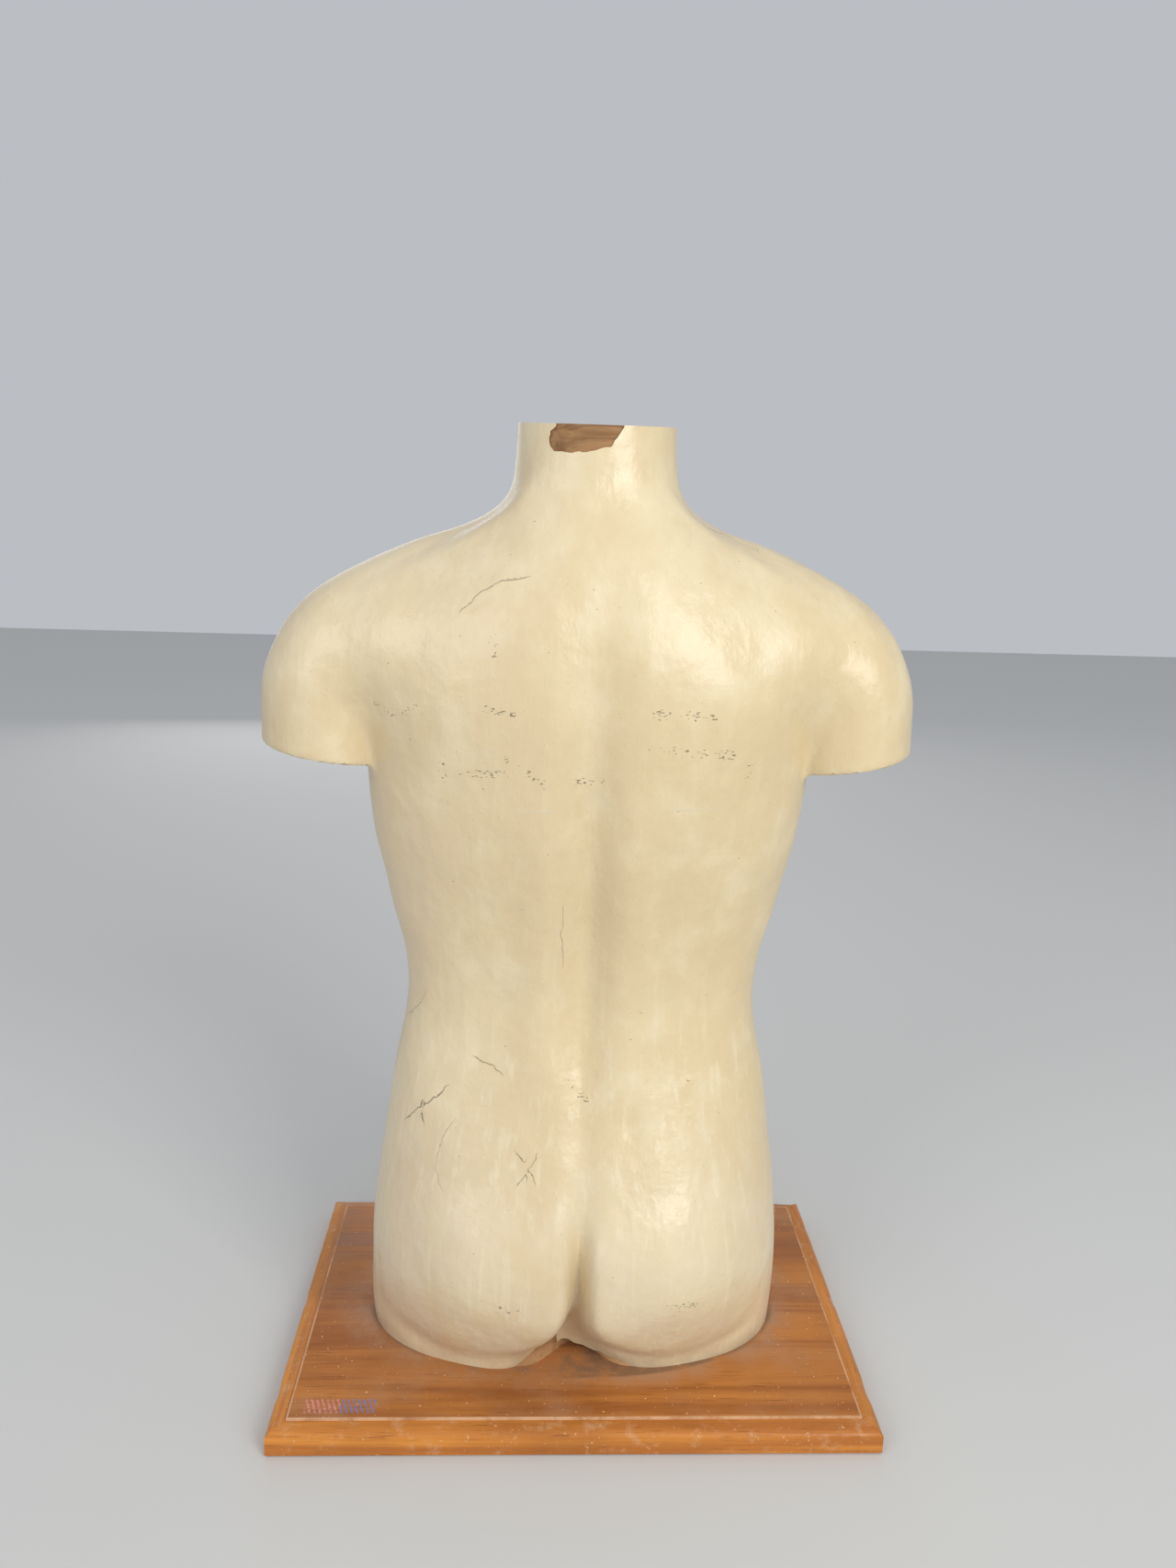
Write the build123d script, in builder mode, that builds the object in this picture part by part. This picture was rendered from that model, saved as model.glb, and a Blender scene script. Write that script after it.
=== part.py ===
"""Display torso of a man, neck to thigh, on a moulded base board.

Two half shells of papier-mache meet in an upright seam plane. They close over a wooden
neck block, two wooden arm caps and a hip plate. Paper tapes line the seam inside. Four
screws hold the hip plate down on a veneered board with mitred mouldings round it.

Frame: millimetres, +Z up, origin under the middle of the board. The chest faces +Y and
the back faces -Y, so +X is the right-hand side of the figure.
"""

from build123d import *
from math import cos, exp, pi, radians, sin, tan
import os

os.makedirs("parts", exist_ok=True)

# ---- base board ----
board_width = 455.0  # over the mouldings, along X
board_depth = 305.0  # over the mouldings, along Y
board_height = 21.0  # top of the panel
moulding_width = 13.0  # from the panel's edge to the outer face
quirk_height = 2.0  # the panel stands this much above the mouldings
ovolo_width = 9.0
ovolo_drop = 5.0
foot_chamfer = 0.8  # worn lower arris of the mouldings

# ---- torso, overall ----
torso_height = 719.0  # board to the middle of the neck cut
shoulder_width = 494.0
chest_width = 344.0  # trunk alone, under the arms
waist_width = 277.0
hip_width = 336.0
neck_width = 115.0
neck_cut_tilt = 4.0  # degrees, the cut falls towards the back

# ---- torso, reach behind and before the widest line (y = 0) ----
thigh_back, thigh_front = 93.0, 80.0
seat_back, groin_front = 117.0, 82.0
waist_back, waist_front = 70.0, 84.0
chest_back, chest_front = 106.0, 124.0
neck_back, neck_front = 60.0, 52.0

# ---- shell ----
wall = 5.0  # papier-mache with its gesso and paint
paint_coat = 1.5  # gesso and paint alone, which run up over the neck block
seam_y = -8.0  # the plane where the two half shells meet
tape_width = 38.0
tape_thickness = 1.2
tape_gap = 3.0  # the tapes stop this short of the wooden pieces

# ---- arm stumps ----
arm_width = 98.0
arm_depth = 112.0
stump_height = 477.0 / 719.0  # share of torso_height at the middle of the stump
stump_tilt = 9.0  # degrees, the cut rises outwards
cap_thickness = 12.0

# ---- wooden inner pieces ----
neck_block_height = 42.0
hip_plate_thickness = 18.0

# ---- fasteners ----
screw_diameter, screw_length = 5.0, 36.0
screw_head_diameter = 9.6
screw_head_sink = 0.5  # the heads sit this far below the underside
screw_slot_width, screw_slot_depth = 1.2, 1.4
screw_spacing_x, screw_spacing_y = 170.0, 70.0
screw_tip = 6.0  # length of the tapered point
brad_diameter, brad_length = 1.6, 20.0
brad_head_diameter, brad_head_height = 3.0, 0.8
brad_cover = 1.0  # paint over the heads
pin_diameter, pin_length = 1.4, 30.0

# ---- damage ----
chip_width, chip_height = 51.0, 19.0  # bare patch at the back of the neck
chip_offset = -10.5  # its middle, along X
gap_width, gap_height = 52.0, 8.0  # broken lower rim between the thighs
gap_offset = 13.0

SECTION_POINTS = 36  # round each trunk section
BURIED = 20.0  # overrun that makes a cut clean

hip_half, waist_half, chest_half = hip_width / 2, waist_width / 2, chest_width / 2
shoulder_half, neck_half = shoulder_width / 2, neck_width / 2
neck_top = board_height + torso_height
seam_plane = Plane(origin=(0, seam_y, 0), x_dir=(1, 0, 0), z_dir=(0, 1, 0))


def mix(a, b, share):
    """The value that lies at this share of the way from a to b."""
    return a + (b - a) * share


def trunk_levels():
    """Rows of (height share, half width, back, front, cleft depth, cleft width, front hollow)."""
    shoulder = shoulder_half
    return [
        (0.000, hip_half * 0.985, thigh_back, thigh_front, 34, 24, 20),
        (0.020, hip_half * 0.990, thigh_back + 1, thigh_front, 34, 24, 18),
        (0.045, hip_half, mix(thigh_back, seat_back, 0.5), thigh_front, 33, 20, 13),
        (0.085, hip_half, mix(thigh_back, seat_back, 0.95), groin_front, 31, 17, 6),
        (0.130, hip_half * 0.985, seat_back, groin_front, 22, 16, 0),
        (0.185, hip_half * 0.965, mix(waist_back, seat_back, 0.80), groin_front + 3, 10, 18, 0),
        (0.250, mix(waist_half, hip_half, 0.62), mix(waist_back, seat_back, 0.42),
         waist_front + 2, 5, 20, 0),
        (0.325, mix(waist_half, hip_half, 0.26), waist_back + 5, waist_front + 2, 7, 17, 0),
        (0.405, waist_half, waist_back, waist_front, 9, 17, 0),
        (0.480, mix(waist_half, chest_half, 0.24), waist_back + 6,
         mix(waist_front, chest_front, 0.2), 9, 17, 0),
        (0.555, mix(waist_half, chest_half, 0.66), mix(waist_back, chest_back, 0.55),
         mix(waist_front, chest_front, 0.6), 9, 18, 3),
        (0.625, chest_half, mix(waist_back, chest_back, 0.87), chest_front - 2, 8, 20, 7),
        (0.700, chest_half + 2, chest_back, chest_front, 7, 22, 8),
        (0.760, chest_half - 2, chest_back, chest_front - 10, 6, 22, 4),
        (0.815, mix(neck_half, shoulder, 0.56), chest_back - 8,
         mix(neck_front, chest_front, 0.58), 4, 22, 0),
        (0.850, mix(neck_half, shoulder, 0.425), chest_back - 17,
         mix(neck_front, chest_front, 0.32), 3, 22, 0),
        (0.875, mix(neck_half, shoulder, 0.30), mix(neck_back, chest_back, 0.48),
         neck_front + 11, 2, 20, 0),
        (0.893, mix(neck_half, shoulder, 0.20), mix(neck_back, chest_back, 0.32), neck_front + 6, 1, 20, 0),
        (0.911, mix(neck_half, shoulder, 0.105), mix(neck_back, chest_back, 0.18),
         neck_front + 3, 0, 20, 0),
        (0.930, mix(neck_half, shoulder, 0.052), neck_back + 5, neck_front + 1, 0, 20, 0),
        (0.960, neck_half + 2, neck_back + 1.5, neck_front, 0, 20, 0),
        (1.000, neck_half, neck_back, neck_front, 0, 20, 0),
    ]


def trunk_outline(level, inset):
    """Points of one trunk section from the front middle round: a squarish ellipse, cleft behind."""
    _, half, back, front, cleft, cleft_width, hollow = level
    power = 2 / 2.2
    points = []
    for i in range(SECTION_POINTS):
        turn = pi / 2 + 2 * pi * i / SECTION_POINTS
        across, along = cos(turn), sin(turn)
        x = (half - inset) * abs(across) ** power * (1 if across > 0 else -1)
        reach = (front if along > 0 else back) - inset
        y = reach * abs(along) ** power * (1 if along > 0 else -1)
        dip = exp(-((x / cleft_width) ** 2)) * abs(along)
        y += cleft * dip if along < 0 else -hollow * dip
        points.append((x, y))
    return points


def level_height(level, inset):
    """Height of a section. Where the shoulders slope, the inner form also drops by the inset."""
    share = level[0]
    drop = inset if 0.8 < share < 0.92 else 0
    return board_height + share * torso_height - drop


def section(plane, points):
    """One closed smooth outline as a face on its plane."""
    with BuildSketch(plane) as sketch:
        with BuildLine():
            Spline(*points, periodic=True)
        make_face()
    return sketch.sketch.faces()[0]


def trunk(inset):
    """The trunk with its neck. An inset one runs past both ends, so it cuts them open."""
    levels = trunk_levels()
    faces = [section(Plane.XY.offset(level_height(v, inset)), trunk_outline(v, inset)) for v in levels]
    past = BURIED if inset else tan(radians(neck_cut_tilt)) * neck_front + 1
    faces.append(section(Plane.XY.offset(neck_top + past), trunk_outline(levels[-1], inset)))
    if inset:
        low = Plane.XY.offset(board_height - BURIED)
        faces.insert(0, section(low, trunk_outline(levels[0], inset)))
    with BuildPart() as form:
        loft(faces)
    return form.part


def arm_stations():
    """Rows of (x, y, height share, lean from upright in degrees, half width, half depth)."""
    x = shoulder_half - arm_width / 2
    half, deep = arm_width / 2, arm_depth / 2
    inner = x - neck_half
    return [
        (x, -4, stump_height - 0.040, 0, half, deep),
        (x, -4, stump_height + 0.025, 0, half, deep),
        (x - 0.02 * inner, -3, 0.737, 10, half * 1.02, deep * 1.04),
        (x - 0.19 * inner, -1, 0.773, 48, half * 1.02, deep * 1.07),
        (x - 0.56 * inner, 2, 0.811, 65, half * 0.96, deep * 1.02),
        (x - 0.87 * inner, 4, 0.834, 66, half * 0.82, deep * 0.92),
        (x - 1.09 * inner, 5, 0.845, 66, half * 0.61, deep * 0.80),
    ]


def arm(side, inset):
    """One stump and its shoulder: ellipses along a line that bends in towards the neck."""
    faces = []
    for x, y, share, lean, half, deep in arm_stations():
        along = (-side * sin(radians(lean)), 0, cos(radians(lean)))
        centre = (side * x, y, board_height + share * torso_height)
        plane = Plane(origin=centre, x_dir=(side * cos(radians(lean)), 0, sin(radians(lean))), z_dir=along)
        with BuildSketch(plane) as oval:
            Ellipse(half - inset, deep - inset)
        faces.append(oval.sketch.faces()[0])
    with BuildPart() as form:
        loft(faces)
    return form.part


def stump_plane(side, raised=0.0):
    """The plane of one arm cut, its normal pointing up into the arm."""
    tilt = radians(stump_tilt)
    normal = Vector(-side * sin(tilt), 0, cos(tilt))
    middle = Vector(side * (shoulder_half - arm_width / 2), 0, board_height + stump_height * torso_height)
    return Plane(origin=middle + normal * raised, x_dir=(side * cos(tilt), 0, sin(tilt)), z_dir=normal)


def neck_plane(lowered=0.0):
    """The plane of the neck cut, its normal pointing up."""
    tilt = radians(neck_cut_tilt)
    return Plane(origin=(0, 0, neck_top - lowered), x_dir=(1, 0, 0), z_dir=(0, -sin(tilt), cos(tilt)))


def stump(side, inset):
    """One arm form, cut off at its stump plane."""
    with BuildPart() as form:
        add(arm(side, inset))
        split(bisect_by=stump_plane(side), keep=Keep.TOP)
    return form.part


def body_form(inset):
    """The whole torso as one solid: the trunk and both stumps."""
    with BuildPart() as form:
        add(trunk(inset))
        add([stump(side, inset) for side in (1, -1)])
    return form.part


def brad_at(point, inward):
    """One brad: a shank with a flat head, its head buried under the paint."""
    direction = Vector(*inward).normalized()
    head = Vector(*point) + direction * brad_cover
    with BuildPart(Plane(origin=head, z_dir=direction)) as nail:
        Cylinder(brad_head_diameter / 2, brad_head_height, align=(Align.CENTER, Align.CENTER, Align.MIN))
        Cylinder(brad_diameter / 2, brad_length, align=(Align.CENTER, Align.CENTER, Align.MIN))
    return nail.part


def outline_point(level, turn_degrees):
    """A point on a trunk section's skin, and the way inwards from it."""
    points = trunk_outline(level, 0.0)
    i = round((turn_degrees - 90) / 360 * SECTION_POINTS) % SECTION_POINTS
    (x, y), (x0, y0), (x1, y1) = points[i], points[i - 1], points[(i + 1) % SECTION_POINTS]
    return (x, y), (-(y1 - y0), x1 - x0)


def brads_round(level, height, turns):
    """A brad at each of these places round a trunk section."""
    nails = []
    for turn in turns:
        (x, y), (inward_x, inward_y) = outline_point(level, turn)
        nails.append(brad_at((x, y, height), (inward_x, inward_y, 0)))
    return nails


def arm_brads(side):
    """Three brads round the outer side of one arm cap."""
    x, y, _, _, half, deep = arm_stations()[1]
    height = board_height + stump_height * torso_height
    nails = []
    for turn in (-75, 0, 75):
        across, along = cos(radians(turn)), sin(radians(turn))
        out_x = half * across
        rise = (out_x * tan(radians(stump_tilt))) + cap_thickness / 2 / cos(radians(stump_tilt))
        nails.append(
            brad_at((side * (x + out_x), y + deep * along, height + rise),
                    (-side * across / half, -along / deep, 0))
        )
    return nails


# ================= forms shared by the pieces =================
skin = body_form(0.0)
trunk_lining = trunk(wall)
arm_linings = {side: stump(side, wall) for side in (1, -1)}

with BuildPart() as neck_seat:
    add(trunk(paint_coat))
    split(bisect_by=neck_plane(neck_block_height), keep=Keep.TOP)

levels = trunk_levels()
hip_brads = brads_round(levels[1], level_height(levels[1], 0), (20, 60, 120, 160, 200, 240, 300, 340))
neck_brads = brads_round(levels[-2], level_height(levels[-2], 0), (50, 130, 230, 310))
cap_brads = {side: arm_brads(side) for side in (1, -1)}
all_brads = hip_brads + neck_brads + cap_brads[1] + cap_brads[-1]


def chip_outline():
    """The bare patch, seen from behind: square on the left, run out upwards on the right."""
    left, right = chip_offset - chip_width / 2, chip_offset + chip_width / 2
    rim = neck_top - neck_back * tan(radians(neck_cut_tilt))
    low = rim - chip_height
    high = neck_top + BURIED
    return [
        (left + 0.09 * chip_width, high), (left + 0.09 * chip_width, rim - 0.04 * chip_height),
        (left, rim - 0.25 * chip_height), (left, low + 0.12 * chip_height), (left + 0.05 * chip_width, low),
        (left + 0.48 * chip_width, low), (left + 0.60 * chip_width, low + 0.12 * chip_height),
        (left + 0.80 * chip_width, low + 0.14 * chip_height),
        (left + 0.90 * chip_width, low + 0.5 * chip_height),
        (right, rim - 0.2 * chip_height), (right, high),
    ]


def gap_outline():
    """The broken rim between the thighs: highest on the left, falling away to the right."""
    left, right = gap_offset - gap_width / 2, gap_offset + gap_width / 2
    low, top = board_height - BURIED, board_height + gap_height
    return [
        (left, low), (left, top - 1.0), (left + 0.04 * gap_width, top), (left + 0.14 * gap_width, top),
        (left + 0.20 * gap_width, top - 1.6), (left + 0.55 * gap_width, top - 2.4),
        (left + 0.60 * gap_width, top - 1.4), (right - 0.10 * gap_width, top - 3.6),
        (right, board_height + 1.5), (right, low),
    ]


# ================= torso =================
with BuildPart() as shell:
    add(skin)
    split(bisect_by=neck_plane(), keep=Keep.BOTTOM)
    add(trunk_lining, mode=Mode.SUBTRACT)
    for side in (1, -1):
        add(arm_linings[side], mode=Mode.SUBTRACT)
    add(neck_seat.part, mode=Mode.SUBTRACT)

clearance = 2 * shoulder_width  # larger than the figure
with BuildPart() as back_shell:
    add(shell.part)
    with Locations((0, seam_y, 0)):
        Box(clearance, clearance, 4 * clearance,
            align=(Align.CENTER, Align.MIN, Align.CENTER), mode=Mode.SUBTRACT)
    for outline in (chip_outline(), gap_outline()):
        with BuildSketch(Plane.XZ.offset(-seam_y)):
            with BuildLine():
                Polyline(*outline, close=True)
            make_face()
        extrude(amount=2 * chest_back, mode=Mode.SUBTRACT)
    add([nail for nail in all_brads if nail.center().Y < seam_y], mode=Mode.SUBTRACT)
back_shell.part.label = "back_shell"

with BuildPart() as front_shell:
    add(shell.part)
    with Locations((0, seam_y, 0)):
        Box(clearance, clearance, 4 * clearance,
            align=(Align.CENTER, Align.MAX, Align.CENTER), mode=Mode.SUBTRACT)
    add([nail for nail in all_brads if nail.center().Y > seam_y], mode=Mode.SUBTRACT)
front_shell.part.label = "front_shell"

with BuildPart() as neck_block:
    add(neck_seat.part)
    split(bisect_by=neck_plane(), keep=Keep.BOTTOM)
    add(neck_brads, mode=Mode.SUBTRACT)
neck_block.part.label = "neck_block"

arm_caps = {}
for side, side_name in ((1, "right"), (-1, "left")):
    with BuildPart() as arm_cap:
        add(arm_linings[side])
        split(bisect_by=stump_plane(side, cap_thickness), keep=Keep.BOTTOM)
        add(cap_brads[side], mode=Mode.SUBTRACT)
    arm_cap.part.label = f"arm_cap_{side_name}"
    arm_caps[side] = arm_cap

# ================= screws up through the board =================
screw_shank, screw_head = screw_diameter / 2, screw_head_diameter / 2
with BuildPart() as screw_blanks:
    with BuildPart(mode=Mode.PRIVATE) as one_screw:
        with BuildSketch(Plane.XZ):
            with BuildLine():
                Polyline((0, 0), (screw_head, 0), (screw_shank, screw_head - screw_shank),
                         (screw_shank, screw_length - screw_tip), (0, screw_length), close=True)
            make_face()
        revolve(axis=Axis.Z)
    with Locations((0, 0, screw_head_sink)):
        with GridLocations(screw_spacing_x, screw_spacing_y, 2, 2):
            add(one_screw.part)

with BuildPart() as base_screws:
    add(screw_blanks.part)
    with Locations((0, 0, screw_head_sink)):
        with GridLocations(screw_spacing_x, screw_spacing_y, 2, 2):
            Box(2 * screw_head_diameter, screw_slot_width, 2 * screw_slot_depth, mode=Mode.SUBTRACT)
base_screws.part.label = "base_screws"

with BuildPart() as hip_plate:
    add(trunk_lining)
    split(bisect_by=Plane.XY.offset(board_height), keep=Keep.TOP)
    split(bisect_by=Plane.XY.offset(board_height + hip_plate_thickness), keep=Keep.BOTTOM)
    add(hip_brads, mode=Mode.SUBTRACT)
    add(screw_blanks.part, mode=Mode.SUBTRACT)
hip_plate.part.label = "hip_plate"

# ================= paper tapes inside the seam =================
stump_level = board_height + stump_height * torso_height
stump_rise = arm_width / 2 * tan(radians(stump_tilt))
side_bottom = board_height + hip_plate_thickness + tape_gap
side_top = stump_level - stump_rise - tape_gap
shoulder_bottom = stump_level + stump_rise + cap_thickness + tape_gap
neck_block_bottom = neck_top - neck_block_height - neck_half * tan(radians(neck_cut_tilt))
tape_inner = trunk(wall + tape_thickness)
tapes = {}
for side, side_name in ((1, "right"), (-1, "left")):
    with BuildPart() as side_tape:
        with Locations((side * hip_half, seam_y, (side_bottom + side_top) / 2)):
            Box(hip_half, tape_width, side_top - side_bottom)
        add(trunk_lining, mode=Mode.INTERSECT)
        add(tape_inner, mode=Mode.SUBTRACT)
    tapes[f"side_seam_tape_{side_name}"] = side_tape
    with BuildPart() as shoulder_tape:
        with Locations((side * shoulder_half, seam_y, (shoulder_bottom + neck_block_bottom) / 2)):
            Box(2 * (shoulder_half - neck_half), tape_width, neck_block_bottom - shoulder_bottom)
        add(arm_linings[side], mode=Mode.INTERSECT)
        add(trunk_lining, mode=Mode.SUBTRACT)
        add(arm(side, wall + tape_thickness), mode=Mode.SUBTRACT)
    tapes[f"shoulder_seam_tape_{side_name}"] = shoulder_tape
for tape_name, tape in tapes.items():
    tape.part.label = tape_name


# ================= base =================
panel_width = board_width - 2 * moulding_width
panel_depth = board_depth - 2 * moulding_width


def pin_at(x, y, outward):
    """One panel pin, driven in from the outer face of a moulding."""
    head = Vector(x, y, board_height / 2)
    with BuildPart(Plane(origin=head, z_dir=-Vector(*outward))) as pin:
        with Locations((0, 0, 1.0)):
            Cylinder(pin_diameter / 2, pin_length, align=(Align.CENTER, Align.CENTER, Align.MIN))
    return pin.part


pins = []
for end in (1, -1):
    for share in (-0.36, 0, 0.36):
        pins.append(pin_at(share * board_width, end * board_depth / 2, (0, end, 0)))
    for share in (-0.3, 0.3):
        pins.append(pin_at(end * board_width / 2, share * board_depth, (end, 0, 0)))

with BuildPart() as base_panel:
    Box(panel_width, panel_depth, board_height, align=(Align.CENTER, Align.CENTER, Align.MIN))
    add(screw_blanks.part, mode=Mode.SUBTRACT)
    with GridLocations(screw_spacing_x, screw_spacing_y, 2, 2):
        Cylinder(screw_head_diameter / 2, 2 * screw_head_sink, mode=Mode.SUBTRACT)
    add(pins, mode=Mode.SUBTRACT)
base_panel.part.label = "base_panel"


def moulding(outward, length):
    """A mitred strip: square inside, an ovolo over an upright face outside."""
    facing = Vector(*outward)
    run = facing.cross(Vector(0, 0, 1))
    reach = (board_width if abs(facing.X) > 0.5 else board_depth) / 2
    inside = reach - moulding_width
    start = Plane(origin=facing * inside - run * (length / 2), x_dir=facing, z_dir=run)
    top = board_height - quirk_height
    with BuildPart() as strip:
        with BuildSketch(start):
            with BuildLine():
                Polyline((0, 0), (moulding_width - foot_chamfer, 0), (moulding_width, foot_chamfer),
                         (moulding_width, top - ovolo_drop))
                EllipticalCenterArc((moulding_width - ovolo_width, top - ovolo_drop),
                                    ovolo_width, ovolo_drop, start_angle=0, arc_size=90)
                Polyline((moulding_width - ovolo_width, top), (0, top), (0, 0))
            make_face()
        extrude(amount=length)
        for end in (1, -1):
            corner = facing * reach + run * (end * length / 2)
            mitre = Plane(origin=corner, z_dir=run * end - facing)
            split(bisect_by=mitre, keep=Keep.BOTTOM)
        add(pins, mode=Mode.SUBTRACT)
    return strip


mouldings = {
    "moulding_back": moulding((0, -1, 0), board_width),
    "moulding_front": moulding((0, 1, 0), board_width),
    "moulding_right": moulding((1, 0, 0), board_depth),
    "moulding_left": moulding((-1, 0, 0), board_depth),
}
for moulding_name, strip in mouldings.items():
    strip.part.label = moulding_name


# ================= fasteners =================
fastener_groups = {
    "hip_plate_brads": hip_brads,
    "neck_block_brads": neck_brads,
    "arm_cap_brads_right": cap_brads[1],
    "arm_cap_brads_left": cap_brads[-1],
    "moulding_pins": pins,
}

# ================= export =================
export_step(back_shell.part, "parts/back_shell.step")
export_step(front_shell.part, "parts/front_shell.step")
export_step(neck_block.part, "parts/neck_block.step")
export_step(arm_caps[1].part, "parts/arm_cap_right.step")
export_step(arm_caps[-1].part, "parts/arm_cap_left.step")
export_step(hip_plate.part, "parts/hip_plate.step")
export_step(base_panel.part, "parts/base_panel.step")
export_step(base_screws.part, "parts/base_screws.step")
for tape_name, tape in tapes.items():
    export_step(tape.part, f"parts/{tape_name}.step")
for moulding_name, strip in mouldings.items():
    export_step(strip.part, f"parts/{moulding_name}.step")
for group_name, nails in fastener_groups.items():
    group = Compound(label=group_name, children=nails)
    export_step(group, f"parts/{group_name}.step")
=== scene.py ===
"""Looks of a lacquered papier-mache display torso on a moulded board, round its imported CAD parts.

Lengths in the body form are millimetres, with heights counted from the top of the board.
Everything that reaches Blender is in metres, in the frame of the CAD.
"""

from math import cos, hypot, pi, radians, sin, tan
from types import SimpleNamespace

import bmesh
import bpy
import numpy as np
from bpy.props import FloatProperty, FloatVectorProperty, IntProperty, PointerProperty
from mathutils import Euler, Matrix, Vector


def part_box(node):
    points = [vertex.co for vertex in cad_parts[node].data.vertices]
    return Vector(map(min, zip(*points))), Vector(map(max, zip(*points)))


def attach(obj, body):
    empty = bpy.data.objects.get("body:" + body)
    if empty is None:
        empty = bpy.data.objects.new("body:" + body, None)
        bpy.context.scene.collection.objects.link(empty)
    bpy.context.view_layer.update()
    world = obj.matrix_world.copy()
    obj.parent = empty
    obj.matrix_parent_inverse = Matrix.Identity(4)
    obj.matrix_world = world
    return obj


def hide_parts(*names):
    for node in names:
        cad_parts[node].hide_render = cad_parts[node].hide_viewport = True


bl_info = {
    "name": "Display torso on a board",
    "version": (1, 0, 0),
    "blender": (4, 5, 0),
    "location": "View3D > Sidebar > Torso",
    "description": "Builds the painted shells, wooden pieces and moulded board of a display torso",
    "category": "Object",
}

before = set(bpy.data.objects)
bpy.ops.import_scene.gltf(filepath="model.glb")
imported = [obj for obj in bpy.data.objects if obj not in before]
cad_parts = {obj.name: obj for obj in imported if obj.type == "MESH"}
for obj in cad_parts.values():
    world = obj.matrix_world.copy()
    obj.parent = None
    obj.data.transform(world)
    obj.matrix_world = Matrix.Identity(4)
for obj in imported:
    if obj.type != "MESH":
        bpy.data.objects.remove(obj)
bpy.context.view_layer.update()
PANEL_LOW, PANEL_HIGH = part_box("base_panel")
BODY = "root"
MM = 0.001
BOARD_TOP = PANEL_HIGH.z / MM
SEAM_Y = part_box("front_shell")[0].y / MM
NECK_TILT = radians(4.0)
NECK_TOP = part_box("back_shell")[1].z / MM - BOARD_TOP - SEAM_Y * tan(NECK_TILT)
STUMP_TILT = radians(9.0)
STUMP_MIDDLE = (198.0, 477.0)  # x and height of the middle of a stump's cut
FORM_LOW, FORM_HIGH = (-262.0, -134.0, -16.0), (262.0, 142.0, NECK_TOP + 18)  # box round the body form
BEHIND_ALL = -130  # y of a place behind the figure's neck and thighs
CHIP_FRONT = -30  # y at which the cut for the chip in the neck ends, inside the block
SPARE_BELOW, SPARE_ABOVE = 14, 16  # how far the neck form runs past the block, before it is cut
FIT = 0.05  # room between a wooden piece and its hollow
SHARP_ANGLE = 35  # degrees between two faces, past which their edge stays crisp

# ---------------------------------------------------------------- the body form

# height, half width, reach of the back, reach of the front, squareness of the section
TRUNK = (
    (-30, 165, 91, 80, 2.25), (0, 167, 94, 80, 2.25), (27, 168, 101, 79, 2.25),
    (62, 167, 114, 79, 2.25), (96, 166, 116, 80, 2.25), (130, 163, 112, 83, 2.25),
    (163, 158, 101, 86, 2.25), (196, 153, 90, 88, 2.25), (228, 147.5, 80, 88, 2.3),
    (260, 141, 72, 87, 2.3), (292, 138, 68, 86, 2.3), (323, 141, 70, 88, 2.3),
    (354, 149, 75, 93, 2.3), (384, 155.5, 82, 101, 2.3), (414, 163, 89, 110, 2.3),
    (444, 167, 95, 118, 2.3), (480, 168, 101, 124, 2.3), (530, 165, 106, 120, 2.25),
    (570, 150, 104, 106, 2.2), (600, 125, 97, 86, 2.15), (630, 92, 85, 68, 2.15),
    (655, 69.5, 70, 56, 2.2), (675, 61, 63.5, 52.5, 2.2), (695, 58.5, 61.5, 52, 2.2),
    (725, 57.7, 60.2, 52, 2.2), (770, 57.7, 60.2, 52, 2.2),
)
# height, depth and half width of the spine groove, which turns into the cleft
SPINE = (
    (-30, 33, 38), (0, 33, 36), (14, 33, 28), (30, 32, 16), (44, 30, 11), (62, 27.5, 8.5),
    (90, 21, 8), (120, 13, 8.5), (145, 6.5, 11), (168, 4, 13), (200, 3.5, 13), (250, 6.5, 15),
    (320, 10, 16), (400, 10.5, 16), (480, 8.5, 18), (560, 5.5, 24), (610, 2.5, 28),
    (650, 0, 28), (770, 0, 28),
)
# x, height, y, half width and half depth down the middle of one shoulder and arm
ARM = (
    (197, 430, -4, 49.2, 57), (197, 497, -4, 49.2, 57), (193, 532, -3, 49.8, 58), (171, 559, -1, 50, 58),
    (120, 588, 2, 47.5, 56), (75, 607, 4, 42, 52), (45, 618, 5, 34, 46),
)
ARM_STEPS = 36


def along(rows, column, place):
    """A column of a table, read smoothly at each place along its first column."""
    knots = np.array([row[0] for row in rows], float)
    values = np.array([row[column] for row in rows], float)
    slopes = np.gradient(values, knots)
    i = np.clip(np.searchsorted(knots, place) - 1, 0, len(knots) - 2)
    span = knots[i + 1] - knots[i]
    t = np.clip((place - knots[i]) / span, 0, 1)
    rise = 3 * t * t - 2 * t ** 3
    bend = span * (slopes[i] * (t ** 3 - 2 * t * t + t) + slopes[i + 1] * (t ** 3 - t * t))
    return values[i] * (1 - rise) + values[i + 1] * rise + bend


def ease(value):
    """Smooth step from 0 to 1 while the value goes from 0 to 1."""
    t = np.clip(value, 0, 1)
    return t * t * (3 - 2 * t)


def hump(*offsets):
    """A bell of height 1, from how far away a place is in widths of the bell."""
    return np.exp(-sum(o * o for o in offsets))


def soft_min(a, b, width):
    """The lesser of two distances, with the crease between them filled over a width."""
    h = np.clip(0.5 + 0.5 * (b - a) / width, 0, 1)
    return b + (a - b) * h - width * h * (1 - h)


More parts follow.
